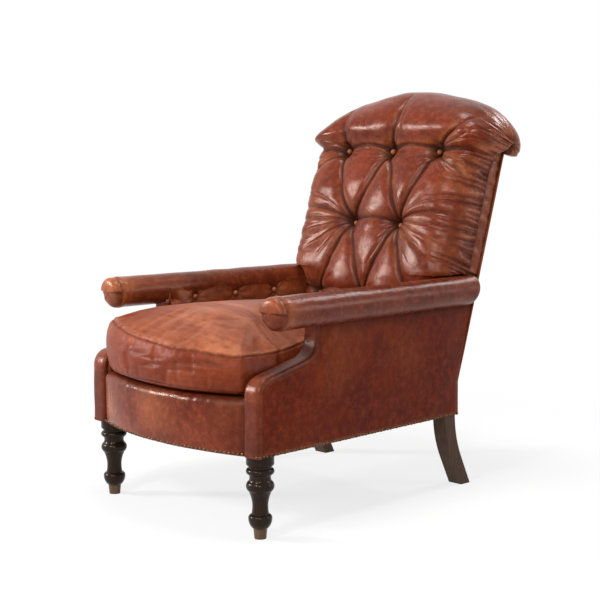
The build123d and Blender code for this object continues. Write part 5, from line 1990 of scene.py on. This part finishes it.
@dataclass
class Studio:
    """Pale floor, soft lights and the camera of the photograph."""

    camera_place: Place = (2.3902, -2.2775, 0.8360)
    camera_aim: Place = (0.0, -0.013, 0.4587)
    lens: float = 82.6
    sensor: float = 36.0
    shift: float = -0.0017
    lamp_aim: Place = (0.0, 0.0, 0.5)
    fill_light: float = 0.19
    shadow_share: float = 0.24
    floor_reach: float = 30.0
    floor_grey: float = 0.9
    fade_start: float = 0.7
    fade_end: float = 1.6

    LAMPS = (
        Softbox("front_softbox", (-2.5, -2.5, 1.5), (0.45, 0.75), 118),
        Softbox("camera_softbox", (0.7, -2.9, 2.2), (0.4, 0.4), 44),
        Softbox("upright_softbox", (2.05, -2.2, 1.7), (0.24, 0.7), 24),
        Softbox("side_softbox", (2.6, 2.2, 1.35), (0.4, 0.8), 18),
        Softbox("rear_softbox", (0.3, 2.5, 2.7), (0.8, 0.5), 28),
        Softbox("top_softbox", (0.1, -0.1, 3.2), (0.9, 0.9), 48),
    )

    def aim(self, thing: bpy.types.Object, place: Place, at: Place) -> None:
        """Put a lamp or camera at a place, looking at a point."""
        thing.location = place
        thing.rotation_euler = (Vector(at) - Vector(place)).to_track_quat("-Z", "Y").to_euler()

    def camera(self) -> None:
        """Camera at the photograph's angle."""
        data = bpy.data.cameras.new("photo_camera")
        data.lens, data.sensor_width = self.lens, self.sensor
        data.shift_x = self.shift
        made = bpy.data.objects.new("photo_camera", data)
        bpy.context.scene.collection.objects.link(made)
        self.aim(made, self.camera_place, self.camera_aim)
        bpy.context.scene.camera = made

    def light(self, lamp: Softbox) -> None:
        """Hang a lamp and aim it at the chair.

        Args:
            lamp: The lamp to hang.
        """
        data = bpy.data.lights.new(lamp.name, "AREA")
        data.shape = "RECTANGLE"
        data.size, data.size_y = lamp.size
        data.energy = lamp.power
        made = bpy.data.objects.new(lamp.name, data)
        bpy.context.scene.collection.objects.link(made)
        self.aim(made, lamp.place, self.lamp_aim)

    @staticmethod
    def seen_rays(tree: bpy.types.NodeTree) -> bpy.types.NodeSocket:
        """Tell the rays that show the surroundings from those that only light the chair.

        Args:
            tree: Node tree that asks.

        Returns:
            1 for camera, glossy and transmission rays, else 0.
        """
        path = tree.nodes.new("ShaderNodeLightPath")
        total = path.outputs["Is Camera Ray"]
        for label in ("Is Glossy Ray", "Is Transmission Ray"):
            add = tree.nodes.new("ShaderNodeMath")
            add.operation = "MAXIMUM"
            tree.links.new(total, add.inputs[0])
            tree.links.new(path.outputs[label], add.inputs[1])
            total = add.outputs[0]
        return total

    def sky(self) -> None:
        """White surroundings that light the chair gently."""
        world = bpy.data.worlds.new("white_surroundings")
        world.use_nodes = True
        bpy.context.scene.world = world
        tree = world.node_tree
        light = tree.nodes["Background"]
        light.inputs["Color"].default_value = (1, 1, 1, 1)
        strength = tree.nodes.new("ShaderNodeMapRange")
        tree.links.new(self.seen_rays(tree), strength.inputs["Value"])
        strength.inputs["To Min"].default_value = self.fill_light
        strength.inputs["To Max"].default_value = 1.0
        tree.links.new(strength.outputs[0], light.inputs["Strength"])

    def floor(self) -> None:
        """White floor that keeps the chair's shadow and fades to plain white further out."""
        mesh = bpy.data.meshes.new("pale_floor")
        reach = self.floor_reach
        corners = [(-reach, -reach, 0), (reach, -reach, 0), (reach, reach, 0), (-reach, reach, 0)]
        mesh.from_pydata(corners, [], [(0, 1, 2, 3)])
        bench = NodeBench("pale_floor")
        grey = self.floor_grey
        bench.set(Base_Color=(grey, grey, grey, 1), Roughness=0.9, Specular_IOR_Level=0.1)
        length = bench.node("ShaderNodeVectorMath", {0: bench.place}, operation="LENGTH").outputs["Value"]
        inputs = {"Value": length, "From Min": self.fade_start, "From Max": self.fade_end,
                  "To Min": 1 - self.shadow_share}
        fade = bench.node("ShaderNodeMapRange", inputs, interpolation_type="SMOOTHSTEP").outputs[0]
        seen = bench.sum(fade, self.seen_rays(bench.tree), "MULTIPLY")
        white = bench.node("ShaderNodeEmission", {}).outputs[0]
        mixed = bench.node("ShaderNodeMixShader", {0: seen, 1: bench.shader.outputs[0], 2: white})
        bench.put(bench.tree.nodes["Material Output"].inputs["Surface"], mixed.outputs[0])
        mesh.materials.append(bench.material)
        made = bpy.data.objects.new("pale_floor", mesh)
        bpy.context.scene.collection.objects.link(made)

    def build(self) -> None:
        """Set up the camera, surroundings, floor and lamps."""
        bpy.context.scene.view_settings.view_transform = "Standard"
        self.camera()
        self.sky()
        self.floor()
        for lamp in self.LAMPS:
            self.light(lamp)


def main() -> None:
    """Dress the chair in order: finishes, back, arms, border, cushion, studs, cloths and studio."""
    logging.basicConfig(level=logging.INFO, format="%(name)s %(message)s")
    plan = ChairPlan()
    FrameFinishes().dress()
    back = InsideBack(plan)
    back.build()
    panels = BackPanels(plan)
    panels.outside()
    arms = [ArmLeather(plan, hand) for hand in Hand]
    for arm in arms:
        panels.strip(arm.hand)
        arm.build()
    FrontBorder(plan).build()
    SeatCushion(plan).build()
    Studs(plan).build(back, arms)
    cloths = ClothCovers(plan)
    cloths.platform()
    cloths.dust()
    Studio().build()


if __name__ == "__main__":
    main()
